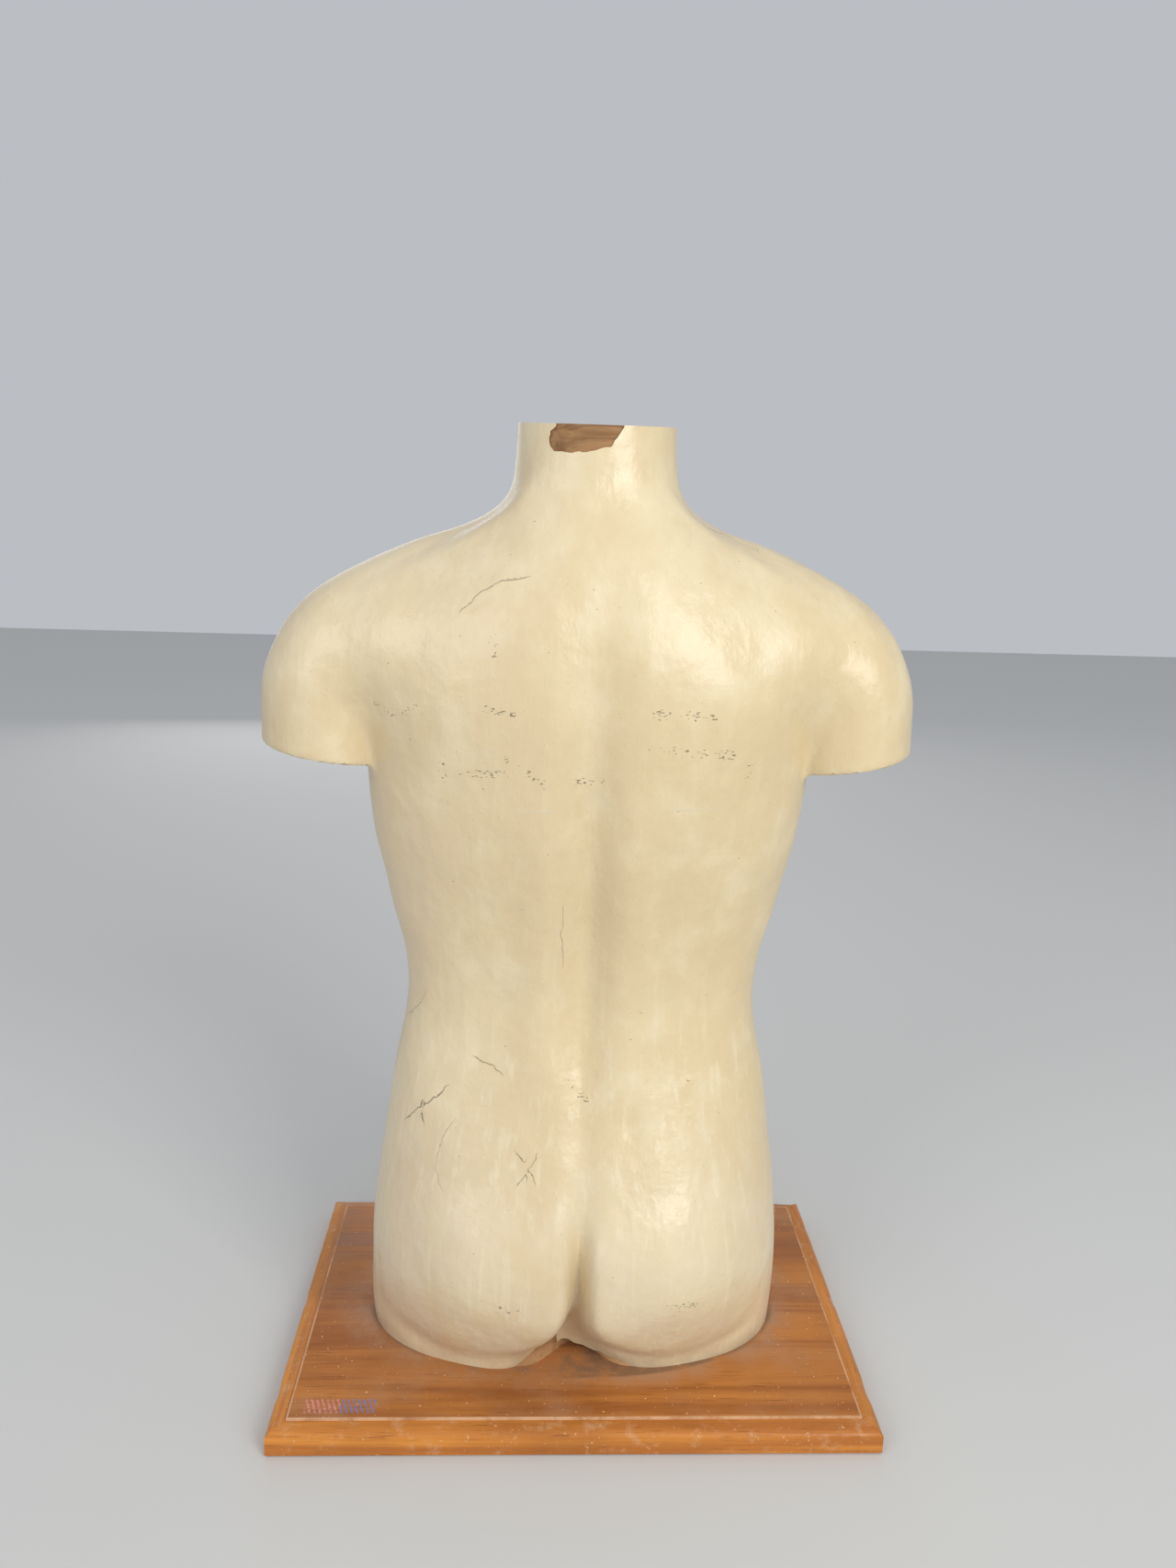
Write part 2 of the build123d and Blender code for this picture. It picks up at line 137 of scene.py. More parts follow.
def back_relief(x, z):
    """How far the back stands out of its plain sections: blades, loins, seat, spine and cleft."""
    side = np.abs(x)
    out = 6 * hump((side - 112) / 52, (z - 545) / 62)
    out = out + 3.2 * hump((side - 34) / 17) * ease((z - 200) / 60) * ease((480 - z) / 80)
    out = out + 9 * hump((side - 78) / 50, (z - 92) / 50)
    out = out - 3 * hump((side - 132) / 30, (z - 128) / 46)
    out = out - 1.8 * hump((side - 37) / 11, (z - 208) / 13)
    fold = 9 + 24 * ((side - 84) / 74) ** 2
    out = out - 3.2 * hump((z - fold) / 10) * ease((160 - side) / 50) * ease((side - 8) / 30)
    out = out + 2.5 * hump((z - fold - 22) / 18) * ease((150 - side) / 50)
    across = x + 13 * ease((75 - z) / 80)
    lopsided = np.where(across < 0, 1 - 0.22 * ease((80 - z) / 60), 1 + 0.35 * ease((80 - z) / 60))
    return out - along(SPINE, 1, z) * hump(across / (along(SPINE, 2, z) * lopsided))


def front_relief(x, z):
    """The same for the front: chest muscles, rib arch, belly and groin, all plainly modelled."""
    side = np.abs(x)
    out = 8 * hump((side - 74) / 46, (z - 500) / 38)
    under_chest = hump((z - 446 - 0.08 * (side - 70)) / 9)
    out = out - 3 * under_chest * ease((side - 12) / 30) * ease((135 - side) / 30)
    out = out - 5 * hump(x / 12) * ease((z - 425) / 50) * ease((590 - z) / 50)
    out = out + 2.6 * hump((z - 618 - 0.1 * side) / 7) * ease((side - 18) / 15) * ease((120 - side) / 40)
    out = out - 5 * hump(x / 15, (z - 625) / 14)
    arch = 425 - 0.78 * side
    out = out - 2.2 * hump((z - arch) / 11) * ease((100 - side) / 30)
    out = out - 2.6 * hump(x / 9) * ease((z - 170) / 60) * ease((430 - z) / 40)
    for crease in (300, 345, 388):
        out = out - 1.2 * hump((z - crease) / 7) * ease((70 - side) / 25)
    out = out - 7 * hump(x / 6, (z - 262) / 7) + 1.5 * hump((side - 92) / 4.5, (z - 488) / 4.5)
    groin = 40 + 1.05 * (side - 25)
    out = out - 4 * hump((z - groin) / 11) * ease((side - 22) / 20) * ease((150 - side) / 40)
    out = out + 13 * hump(x / 34, (z - 52) / 36)
    return out - 16 * hump(x / 13) * ease((22 - z) / 30)


def unevenness(x, y, z):
    """Hand-laid paper is never quite true."""
    wide = np.sin(x / 29 + 1.1) * np.sin(z / 41 + 0.5)
    middle = 0.7 * np.sin(x / 17 - z / 23 + y / 31 + 2.0)
    fine = 0.5 * np.sin(z / 13 + y / 19 + x / 37)
    return (wide + middle + fine) * (1 - 0.7 * ease((np.abs(x) - 165) / 25) * ease((530 - z) / 20))


def trunk_field(x, y, z):
    """Rough distance from the skin of the trunk, negative inside."""
    power = along(TRUNK, 4, z)
    reach = np.where(y < 0, along(TRUNK, 2, z), along(TRUNK, 3, z))
    share = (np.abs(x / along(TRUNK, 1, z)) ** power + np.abs(y / reach) ** power) ** (1 / power)
    behind = ease(-y / 45)
    before = ease(y / 45)
    relief = back_relief(x, z) * behind + front_relief(x, z) * before
    return np.hypot(x, y) * (1 - 1 / np.maximum(share, 0.05)) - relief


def arm_field(x, y, z):
    """Rough distance from the skin of the nearer arm and shoulder, open below its cut."""
    side = np.abs(x)
    rows = [(i, *row) for i, row in enumerate(ARM)]
    steps = np.linspace(0, len(ARM) - 1, ARM_STEPS)
    path = np.stack([along(rows, c, steps) for c in range(1, 6)], axis=1)
    nearest = np.full(np.broadcast(side, z).shape, 1e9)
    middle_y, half, deep = nearest * 0, nearest * 0 + 1, nearest * 0 + 1
    for a, b in zip(path[:-1], path[1:]):
        run_x, run_z = b[0] - a[0], b[1] - a[1]
        share = np.clip(((side - a[0]) * run_x + (z - a[1]) * run_z) / (run_x ** 2 + run_z ** 2), 0, 1)
        away = np.hypot(side - a[0] - share * run_x, z - a[1] - share * run_z)
        closer = away < nearest
        nearest = np.where(closer, away, nearest)
        middle_y = np.where(closer, a[2] + share * (b[2] - a[2]), middle_y)
        half = np.where(closer, a[3] + share * (b[3] - a[3]), half)
        deep = np.where(closer, a[4] + share * (b[4] - a[4]), deep)
    share = np.hypot(nearest / half, (y - middle_y) / deep)
    return np.hypot(nearest, y - middle_y) * (1 - 1 / np.maximum(share, 0.05))


def body_field(x, y, z):
    """Rough distance from the skin of the whole torso, negative inside."""
    sizes = in_millimetres()
    x0, z0 = STUMP_MIDDLE
    under = (np.abs(x) - x0) * sin(STUMP_TILT) - (z - z0) * cos(STUMP_TILT)
    arm = -soft_min(-arm_field(x, y, z), -under, sizes.rim_rounding)
    crease = sizes.armpit_blend + (sizes.shoulder_blend - sizes.armpit_blend) * ease((z - 490) / 100)
    crease = crease + sizes.blade_blend * ease((z - 478) / 60) * ease((-y - 20) / 30)
    skin = soft_min(trunk_field(x, y, z), arm, crease)
    blade = hump((np.abs(x) - 148) / 27, (z - 550) / 48) * ease((-y - 10) / 25)
    return skin - sizes.blade_fill * blade - sizes.unevenness * unevenness(x, y, z)


def net_surface(values, low, step):
    """Quads over the zero level of a grid of values, one corner in each crossed cell."""
    inside = values < 0
    shape = np.array(values.shape)
    corner = [(i, j, k) for i in (0, 1) for j in (0, 1) for k in (0, 1)]
    cut = tuple(slice(0, n - 1) for n in shape)
    windows = [tuple(slice(c, n - 1 + c) for c, n in zip(at, shape)) for at in corner]
    filled = sum(inside[window].astype(np.int8) for window in windows)
    cells = np.argwhere((filled > 0) & (filled < 8))
    number = np.full(filled.shape, -1, np.int64)[cut]
    number[tuple(cells.T)] = np.arange(len(cells))
    total, count = np.zeros((len(cells), 3)), np.zeros(len(cells))
    for a in corner:
        for b in corner:
            if sum(b) == sum(a) + 1 and all(p <= q for p, q in zip(a, b)):
                value_a = values[tuple((cells + a).T)]
                value_b = values[tuple((cells + b).T)]
                crossed = (value_a < 0) != (value_b < 0)
                share = value_a / np.where(crossed, value_a - value_b, 1)
                place = np.array(a) + share[:, None] * (np.array(b) - np.array(a))
                total += np.where(crossed[:, None], place, 0)
                count += crossed
    points = low + step * (cells + total / count[:, None])
    faces = []
    for axis in range(3):
        u, v = [a for a in range(3) if a != axis]
        near = tuple(slice(0, n - 1) if a == axis else slice(1, n - 1) for a, n in enumerate(shape))
        far = tuple(slice(1, n) if a == axis else slice(1, n - 1) for a, n in enumerate(shape))
        for lo, hi, turned in ((inside[near], ~inside[far], False), (~inside[near], inside[far], True)):
            found = np.argwhere(lo & hi)
            found[:, u] += 1
            found[:, v] += 1
            quad = []
            for du, dv in ((-1, -1), (0, -1), (0, 0), (-1, 0)):
                cell = found.copy()
                cell[:, u] += du
                cell[:, v] += dv
                quad.append(number[tuple(cell.T)])
            quad = np.stack(quad, axis=1)
            faces.append(quad[:, ::-1] if turned != (axis == 1) else quad)
    return points, np.concatenate(faces)


def settle(points, field, rounds=3):
    """Moves points along the field's slope on to its zero level."""
    probe = 0.4
    for _ in range(rounds):
        slope = np.stack([
            (field(*(points + probe * unit).T) - field(*(points - probe * unit).T)) / (2 * probe)
            for unit in np.eye(3)
        ], axis=1)
        steep = np.maximum((slope ** 2).sum(axis=1), 0.05)
        points = points - (field(*points.T) / steep)[:, None] * slope
    return points


# ---------------------------------------------------------------- making pieces

def in_frame(points):
    """Millimetres over the board to metres in the frame."""
    return (np.asarray(points, float) + (0, 0, BOARD_TOP)) * MM


def new_piece(name, bm=None, points=None, faces=None):
    """An object at the origin, from a bmesh or from points in metres and faces."""
    mesh = bpy.data.meshes.new(name)
    if bm is not None:
        bm.to_mesh(mesh)
        bm.free()
    else:
        mesh.from_pydata([tuple(p) for p in points], [], [tuple(map(int, f)) for f in faces])
    piece = bpy.data.objects.new(name, mesh)
    bpy.context.scene.collection.objects.link(piece)
    return piece


def face_outwards(bm):
    """Turns the faces of a closed shape outwards."""
    bmesh.ops.recalc_face_normals(bm, faces=bm.faces)


def planar_cut(bm, point, normal):
    """Takes away what lies on the normal's side of a plane and closes the cut."""
    geometry = bm.verts[:] + bm.edges[:] + bm.faces[:]
    cut = bmesh.ops.bisect_plane(
        bm, geom=geometry, dist=1e-7, plane_co=point, plane_no=normal, clear_outer=True)
    rim = [e for e in cut["geom_cut"] if isinstance(e, bmesh.types.BMEdge) and len(e.link_faces) == 1]
    bmesh.ops.edgeloop_fill(bm, edges=rim)


def neck_cut(lowered=0.0):
    """A point on the plane of the neck cut, or below it, and its upward normal."""
    middle = Vector((0, 0, (BOARD_TOP + NECK_TOP - lowered) * MM))
    return middle, Vector((0, -sin(NECK_TILT), cos(NECK_TILT)))


def stump_cut(side, raised=0.0):
    """A point on the plane of an arm cut, or above it, and its upward normal."""
    normal = Vector((-side * sin(STUMP_TILT), 0, cos(STUMP_TILT)))
    middle = Vector((side * STUMP_MIDDLE[0] * MM, 0, (BOARD_TOP + STUMP_MIDDLE[1]) * MM))
    return middle + normal * raised * MM, normal


def finish_piece(piece, replaced, materials):
    """Materials, smooth shading with crisp edges and the CAD nodes a piece stands for."""
    for material in materials:
        piece.data.materials.append(material)
    piece.data.polygons.foreach_set("use_smooth", [True] * len(piece.data.polygons))
    piece.data.set_sharp_from_angle(angle=radians(SHARP_ANGLE))
    piece.data.update()
    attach(piece, BODY)
    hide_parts(*replaced)


def subtract(piece, cutters):
    """Cuts closed shapes out of a piece and drops them."""
    for cutter in cutters:
        knife = piece.modifiers.new("Cut", "BOOLEAN")
        knife.operation = "DIFFERENCE"
        knife.solver = "EXACT"
        knife.object = cutter
    evaluated = piece.evaluated_get(bpy.context.evaluated_depsgraph_get())
    mesh = bpy.data.meshes.new_from_object(evaluated)
    piece.modifiers.clear()
    piece.data = mesh
    for cutter in cutters:
        bpy.data.objects.remove(cutter)


def rings_to_bmesh(rings):
    """Closed bmesh from stacked rings of points in metres, with a flat face at each end."""
    bm = bmesh.new()
    loops = [[bm.verts.new(p) for p in ring] for ring in rings]
    count = len(loops[0])
    for below, above in zip(loops[:-1], loops[1:]):
        for i in range(count):
            j = (i + 1) % count
            bm.faces.new((below[i], below[j], above[j], above[i]))
    bm.faces.new(loops[0][::-1])
    bm.faces.new(loops[-1])
    return bm


def neck_form(inset, rings=24, sides=144):
    """The neck under a coat of paint, past both its cuts, by halving along rays from its middle."""
    low = NECK_TOP - in_millimetres().neck_block_height - SPARE_BELOW
    high = NECK_TOP + SPARE_ABOVE
    turn = np.linspace(0, 2 * pi, sides, endpoint=False)[None, :]
    z = np.linspace(low, high, rings)[:, None] + 0 * turn
    near, far = np.full(z.shape, 20.0), np.full(z.shape, 130.0)
    for _ in range(24):
        radius = (near + far) / 2
        outside = body_field(radius * np.cos(turn), radius * np.sin(turn), z) + inset > 0
        far = np.where(outside, radius, far)
        near = np.where(outside, near, radius)
    return rings_to_bmesh(in_frame(np.stack([near * np.cos(turn), near * np.sin(turn), z], axis=2)))


def stump_disc(side, inset, below):
    """A disc in the end of an arm: flush with the cut, or standing below it as a cutter."""
    sizes = in_millimetres()
    x0, z0 = STUMP_MIDDLE
    half, deep, middle_y = ARM[0][3] - inset, ARM[0][4] - inset, ARM[0][2]
    turn = np.linspace(0, 2 * pi, 96, endpoint=False)
    x, y = side * (x0 + half * np.cos(turn)), middle_y + deep * np.sin(turn)
    tall = 45  # how far the disc runs past its cuts, up and down
    rings = [np.stack([x, y, z0 + h + 0 * turn], axis=1) for h in (-tall, tall)]
    bm = rings_to_bmesh(in_frame(rings))
    face_outwards(bm)
    top, up = stump_cut(side, sizes.cap_thickness)
    planar_cut(bm, top, up)
    bottom, up = stump_cut(side, -below)
    planar_cut(bm, bottom, -up)
    planar_cut(bm, Vector((side * sizes.cap_inner_x * MM, 0, 0)), Vector((-side, 0, 0)))
    face_outwards(bm)
    return bm


def prism(outline, y_far, y_near):
    """A closed prism along Y over an outline of (x, height)."""
    rings = [[(x, y, z) for x, z in outline] for y in (y_far, y_near)]
    bm = rings_to_bmesh(in_frame(rings))
    face_outwards(bm)
    return bm


def ragged(outline, amount, step=2.2):
    """An outline with its straight runs broken into short uneven ones."""
    points = []
    for (x0, z0), (x1, z1) in zip(outline, outline[1:] + outline[:1]):
        length = hypot(x1 - x0, z1 - z0)
        pieces = max(1, int(length / step))
        for i in range(pieces):
            t = i / pieces
            x, z = x0 + t * (x1 - x0), z0 + t * (z1 - z0)
            off = amount * (sin(1.9 * x + 0.7 * z) + 0.6 * sin(4.3 * z - 1.1 * x))
            points.append((x - off * (z1 - z0) / length, z + off * (x1 - x0) / length))
    return points


# outline of the bare patch on the neck: x, and how far under the rim
NECK_CHIP = [
    (-30.5, -14), (-31, 1.0), (-34.5, 4.5), (-35.5, 9), (-34.8, 14.5), (-32, 17.6), (-22, 18.8),
    (-10, 18.0), (-4, 17.2), (1.5, 15.6), (6.5, 14.6), (9.5, 10.5), (12.5, 5.5), (15.5, 1.0), (16, -14),
]
# outline of the broken lower rim: x and height
RIM_GAP = [
    (-13, -12), (-13.5, 5), (-11, 8.6), (-5, 8.2), (-1.5, 5.6), (6, 6.2), (15, 5.2), (19, 6.6),
    (26, 4.8), (33, 5.0), (39, 2.6), (41, 0.8), (41, -12),
]


# ---------------------------------------------------------------- finishes

class Finish:
    """A principled material, with short ways to lay patterns over it in Object coordinates."""

    def __init__(self, name, **values):
        self.material = bpy.data.materials.new(name)
        self.material.use_nodes = True
        self.tree = self.material.node_tree
        self.shader = self.tree.nodes["Principled BSDF"]
        for socket, value in values.items():
            self.shader.inputs[socket.replace("_", " ")].default_value = value
        self.place = self.add("ShaderNodeTexCoord").outputs["Object"]

    def add(self, kind, inputs=(), **settings):
        """A node with its settings, and its inputs set or linked by name or number."""
        node = self.tree.nodes.new(kind)
        for name, value in settings.items():
            setattr(node, name, value)
        for socket, value in dict(inputs).items():
            if isinstance(value, bpy.types.NodeSocket):
                self.tree.links.new(value, node.inputs[socket])
            else:
                node.inputs[socket].default_value = value
        return node

    def use(self, **outputs):
        """Links outputs to the shader's sockets."""
        for socket, value in outputs.items():
            self.tree.links.new(value, self.shader.inputs[socket.replace("_", " ")])

    def maths(self, operation, a, b=0.0):
        """One sum on one or two values."""
        return self.add("ShaderNodeMath", {0: a, 1: b}, operation=operation).outputs[0]

    def times(self, a, b):
        return self.maths("MULTIPLY", a, b)

    def plus(self, a, b):
        return self.maths("ADD", a, b)

    def fade(self, value, low, high, start=0.0, end=1.0):
        """Start to end, while the value goes from low to high."""
        inputs = {"Value": value, "From Min": low, "From Max": high, "To Min": start, "To Max": end}
        return self.add("ShaderNodeMapRange", inputs, interpolation_type="SMOOTHSTEP").outputs[0]

    def stretched(self, scale, shift):
        """The place on the piece, scaled along each axis and moved."""
        inputs = {"Vector": self.place, "Scale": scale, "Location": shift}
        return self.add("ShaderNodeMapping", inputs).outputs[0]

    def noise(self, scale, detail=3.0, roughness=0.5, stretch=(1, 1, 1), shift=(0, 0, 0), distortion=0.0):
        """Cloudy noise from 0 to 1 on the piece."""
        inputs = {"Vector": self.stretched(stretch, shift), "Scale": scale, "Detail": detail,
                  "Roughness": roughness, "Distortion": distortion}
        return self.add("ShaderNodeTexNoise", inputs).outputs[0]

    def blend(self, share, a, b):
        """Colour a going to colour b with the share."""
        node = self.add("ShaderNodeMix", data_type="RGBA")
        for socket, value in ((0, share), (6, a), (7, b)):
            if isinstance(value, bpy.types.NodeSocket):
                self.tree.links.new(value, node.inputs[socket])
            else:
                node.inputs[socket].default_value = value if socket == 0 else (*value, 1.0)[:4]
        return node.outputs[2]

    def bump(self, height, distance, strength=1.0, over=None):
        """A normal from a height, on top of another one."""
        inputs = {"Height": height, "Distance": distance, "Strength": strength}
        if over is not None:
            inputs["Normal"] = over
        return self.add("ShaderNodeBump", inputs).outputs[0]

    def carried(self, name):
        """A value stored on the mesh."""
        return self.add("ShaderNodeAttribute", attribute_name=name).outputs["Fac"]

    def axes(self):
        """The place's x, y and z."""
        parts = self.add("ShaderNodeSeparateXYZ", {0: self.place})
        return parts.outputs[0], parts.outputs[1], parts.outputs[2]


# marks on the back: cracks, each with its strength and line of (x, height) over the board
CRACKS = (
    (0.75, ((62, 666), (68, 656), (78, 649), (88, 646), (99, 641), (116, 634))),
    (0.45, ((95, 652), (112, 643), (132, 632), (150, 625))),
    (0.45, ((-91, 590), (-82, 600), (-66, 609), (-50, 613))),
    (0.55, ((-81, 251), (-72, 249), (-63, 243))),
    (0.60, ((-104, 226), (-121, 208), (-134, 195))),
    (0.90, ((-122, 209), (-121, 199))),
    (0.30, ((-98, 203), (-108, 185), (-111, 168), (-106, 155))),
    (0.85, ((-48, 186), (-40, 178), (-36, 169))),
    (0.60, ((-34, 185), (-46, 168))),
    (0.32, ((-18, 376), (-19, 352), (-17, 330))),
    (0.35, ((-136, 268), (-128, 280), (-122, 292))),
)
# lines that dark scuffs lie along
SCUFFS = (
    ((-71, 571), (-69, 561)),
    ((-76, 524), (-54, 522)),
    ((40, 524), (60, 522)),
    ((60, 522), (84, 523)),
    ((-153, 519), (-138, 513)),
    ((-134, 515), (-126, 522)),
    ((-105, 485), (-105, 472)),
    ((-92, 477), (-60, 479)),
    ((-60, 488), (-34, 472)),
    ((-13, 474), (6, 474)),
    ((38, 499), (97, 494)),
    ((109, 486), (110, 477)),
    ((-6, 234), (3, 224)),
    ((-59, 74), (-46, 73)),
    ((66, 75), (88, 74)),
    ((74, 67), (80, 76)),
)
# lines scratched down to the gesso
PALE_SCRATCHES = (
    ((-54, 452), (-30, 453)),
    ((55, 455), (98, 453)),
    ((-23, 330), (-22, 378)),
)
# single dark spots, and how far one reaches each way
SPOTS = ((42, 294), (36, 272), (93, 299), (80, 236), (-69, 566), (-122, 204))
SPOT_REACH = 0.9


def line_distance(lines, x, z, normal, strengths=None):
    """Distance from the nearest line, the same along the skin with a sign, and its strength."""
    nearest, signed, strong = np.full(x.shape, 1e6), np.full(x.shape, 1e6), np.ones(x.shape)
    for i, line in enumerate(lines):
        for (x0, z0), (x1, z1) in zip(line[:-1], line[1:]):
            length = hypot(x1 - x0, z1 - z0)
            run_x, run_z = (x1 - x0) / length, (z1 - z0) / length
            share = np.clip((x - x0) * run_x + (z - z0) * run_z, 0, length)
            away = np.hypot(x - x0 - share * run_x, z - z0 - share * run_z)
            closer = away < nearest
            nearest = np.where(closer, away, nearest)
            facing = np.sqrt(np.maximum(1 - (normal[0] * run_z - normal[2] * run_x) ** 2, 0.03))
            signed = np.where(closer, ((x - x0) * run_z - (z - z0) * run_x) / facing, signed)
            strong = np.where(closer, strengths[i] if strengths else 1.0, strong)
    return nearest, signed, strong


def carry_marks(mesh):
    """Stores on each vertex how it lies to the marks on the back, for the paint to draw them."""
    points = np.zeros(len(mesh.vertices) * 3)
    mesh.vertices.foreach_get("co", points)
    normal = np.zeros(len(mesh.vertices) * 3)
    mesh.vertices.foreach_get("normal", normal)
    normal = normal.reshape(-1, 3).T
    x, y, z = (points.reshape(-1, 3) / MM - (0, 0, BOARD_TOP)).T
    behind = ease(-y / 15)
    reach = SPOT_REACH
    spots = tuple(((a - reach, b - reach), (a + reach, b + reach)) for a, b in SPOTS)
    strengths = [strength for strength, _ in CRACKS]
    lines = [line for _, line in CRACKS]
    crack_away, crack_side, strong = line_distance(lines, x, z, normal, strengths)
    pale_away, pale_side, _ = line_distance(PALE_SCRATCHES, x, z, normal)
    spot_away = line_distance(spots, x, z, normal)[0] + 1.2
    scuff_away = np.minimum(line_distance(SCUFFS, x, z, normal)[0], spot_away)
    values = {
        "crack_side": crack_side,
        "crack_near": behind * strong * ease((4.5 - crack_away) / 3),
        "pale_side": pale_side,
        "pale_near": behind * ease((4.5 - pale_away) / 3),
        "scuff_near": behind * ease((7.0 - scuff_away) / 6),
    }
    for name, value in values.items():
        attribute = mesh.attributes.new(name, "FLOAT", "POINT")
        attribute.data.foreach_set("value", np.clip(value, -50, 50).astype(np.float32))


def paint_finish(colours):
    """Aged cream lacquer over gesso: mottled, brushed, speckled, cracked and scuffed, with painted shade over
    the middle of the back and on the left side, and dirt and painted shade just above the board.
    """
    if "Cream lacquer" in bpy.data.materials:
        return bpy.data.materials["Cream lacquer"]
    f = Finish("Cream lacquer", Roughness=0.4, IOR=1.48, Coat_Weight=0.40, Coat_Roughness=0.24)
    x, _, z = f.axes()
    cloudy = f.noise(9, 4, 0.55, (1, 1, 0.6))
    patches = f.noise(28, 5, 0.6, (1, 1, 0.8), (0.3, 0.1, 0))
    brushed = f.noise(120, 4, 0.6, (1, 1, 0.06))
    fine = f.noise(420, 3, 0.6)
    colour = f.blend(f.fade(cloudy, 0.40, 0.64), colours.paint_warm_and_shade, colours.paint)
    colour = f.blend(f.fade(patches, 0.45, 0.75, 0, 0.42), colour, colours.paint_light)
    # Painted shade: the middle and upper back darker and warmer, in patches.
    mid_back_painted_shade = f.times(f.fade(z, 0.25, 0.38), f.fade(z, 0.72, 0.52))
    mid_back_painted_shade = f.times(mid_back_painted_shade, f.fade(patches, 0.64, 0.36, 0.35, 0.9))
    colour = f.blend(mid_back_painted_shade, colour, colours.paint_warm_and_shade)
    # Painted shade: the left side rosier and darker, in clouds.
    left_side_painted_shade = f.times(f.fade(x, 0.06, -0.22), f.fade(cloudy, 0.62, 0.40, 0.1, 0.55))
    colour = f.blend(left_side_painted_shade, colour, colours.paint_rosy_and_shade)
    # Rosier low down, in patches.
    low_rosy = f.times(f.fade(z, 0.26, 0.10), f.fade(patches, 0.35, 0.62, 0.15, 0.6))
    colour = f.blend(low_rosy, colour, colours.paint_rosy_and_shade)
    streaks = f.times(f.fade(brushed, 0.52, 0.70), f.fade(z, 0.42, 0.20, 0.12, 0.4))
    colour = f.blend(streaks, colour, colours.paint_light)
    # Darker just above the board, in patches: handling dirt and painted shade.
    grime_and_shade = f.times(f.fade(z, 0.038, 0.021, 0, 0.5), f.fade(patches, 0.3, 0.65, 0.1, 1))
    colour = f.blend(grime_and_shade, colour, colours.grime_and_shade)
    specks = f.fade(f.noise(620, 2, 0.5, (1, 1, 0.7), (1.7, 0, 0)), 0.725, 0.775, 0, 0.5)
    colour = f.blend(specks, colour, colours.grime_and_shade)

    wander = f.fade(f.noise(85, 3, 0.6, shift=(0.4, 0, 0.7)), 0.2, 0.8, -1.9, 1.9)
    crack = f.maths("ABSOLUTE", f.plus(f.carried("crack_side"), wander))
    width = f.fade(patches, 0.35, 0.65, 0.25, 0.75)
    crack = f.fade(f.maths("DIVIDE", crack, width), 1.0, 0.45)
    crack = f.times(crack, f.carried("crack_near"))
    fleck = f.noise(560, 1, 0.5, (0.55, 1, 1.5), (0.9, 0, 0.4))
    broken = f.fade(f.noise(110, 2, 0.5, shift=(0.2, 0.6, 0.8)), 0.42, 0.60, 0.0, 0.07)
    needed = f.maths("SUBTRACT", f.fade(f.carried("scuff_near"), 0.2, 1.0, 0.86, 0.665), broken)
    scuff = f.fade(f.maths("SUBTRACT", fleck, needed), 0.0, 0.025)
    pale = f.maths("ABSOLUTE", f.plus(f.carried("pale_side"), f.times(wander, 0.4)))
    pale = f.times(f.fade(pale, 0.9, 0.3), f.carried("pale_near"))
    pale = f.times(pale, f.fade(fine, 0.4, 0.6, 0.25, 0.85))
    dark = f.maths("MAXIMUM", crack, f.times(scuff, 0.7))
    colour = f.blend(pale, colour, colours.gesso)
    colour = f.blend(dark, colour, colours.crack)

    dull = f.plus(f.fade(patches, 0.35, 0.70, 0.30, 0.50), f.fade(fine, 0.35, 0.65, 0.0, 0.08))
    dull = f.plus(dull, f.times(dark, 0.3))
    swell = f.bump(f.noise(30, 2, 0.4, (1, 1, 0.8)), 0.0036, 0.6)
    ripple = f.bump(f.noise(78, 3, 0.5), 0.0012, 0.6, swell)
    dimples = f.bump(f.noise(190, 2, 0.5, shift=(0.3, 0.3, 0.9)), 0.00035, 0.6, ripple)
    brush = f.bump(brushed, 0.00045, 0.7, dimples)
    grain = f.bump(fine, 0.00012, 0.5, brush)
    sunk = f.bump(f.maths("SUBTRACT", 1.0, dark), 0.0009, 0.8, grain)
    f.use(Base_Color=colour, Roughness=dull, Normal=sunk, Coat_Normal=sunk)
    return f.material


def broken_finish(colours):
    """Broken edge of the shell: pale gesso over brown pulp, browner low down."""
    if "Broken edge" in bpy.data.materials:
        return bpy.data.materials["Broken edge"]
    f = Finish("Broken edge", Roughness=0.9)
    _, _, z = f.axes()
    spots = f.noise(260, 4, 0.6)
    pale = f.blend(f.fade(spots, 0.4, 0.65, 0, 0.6), colours.gesso, colours.paint_warm_and_shade)
    pulp = f.blend(f.fade(spots, 0.35, 0.65), colours.pulp, colours.crack)
    f.use(Base_Color=f.blend(f.fade(z, 0.25, 0.45), pulp, pale), Normal=f.bump(spots, 0.0006, 0.8))
    return f.material


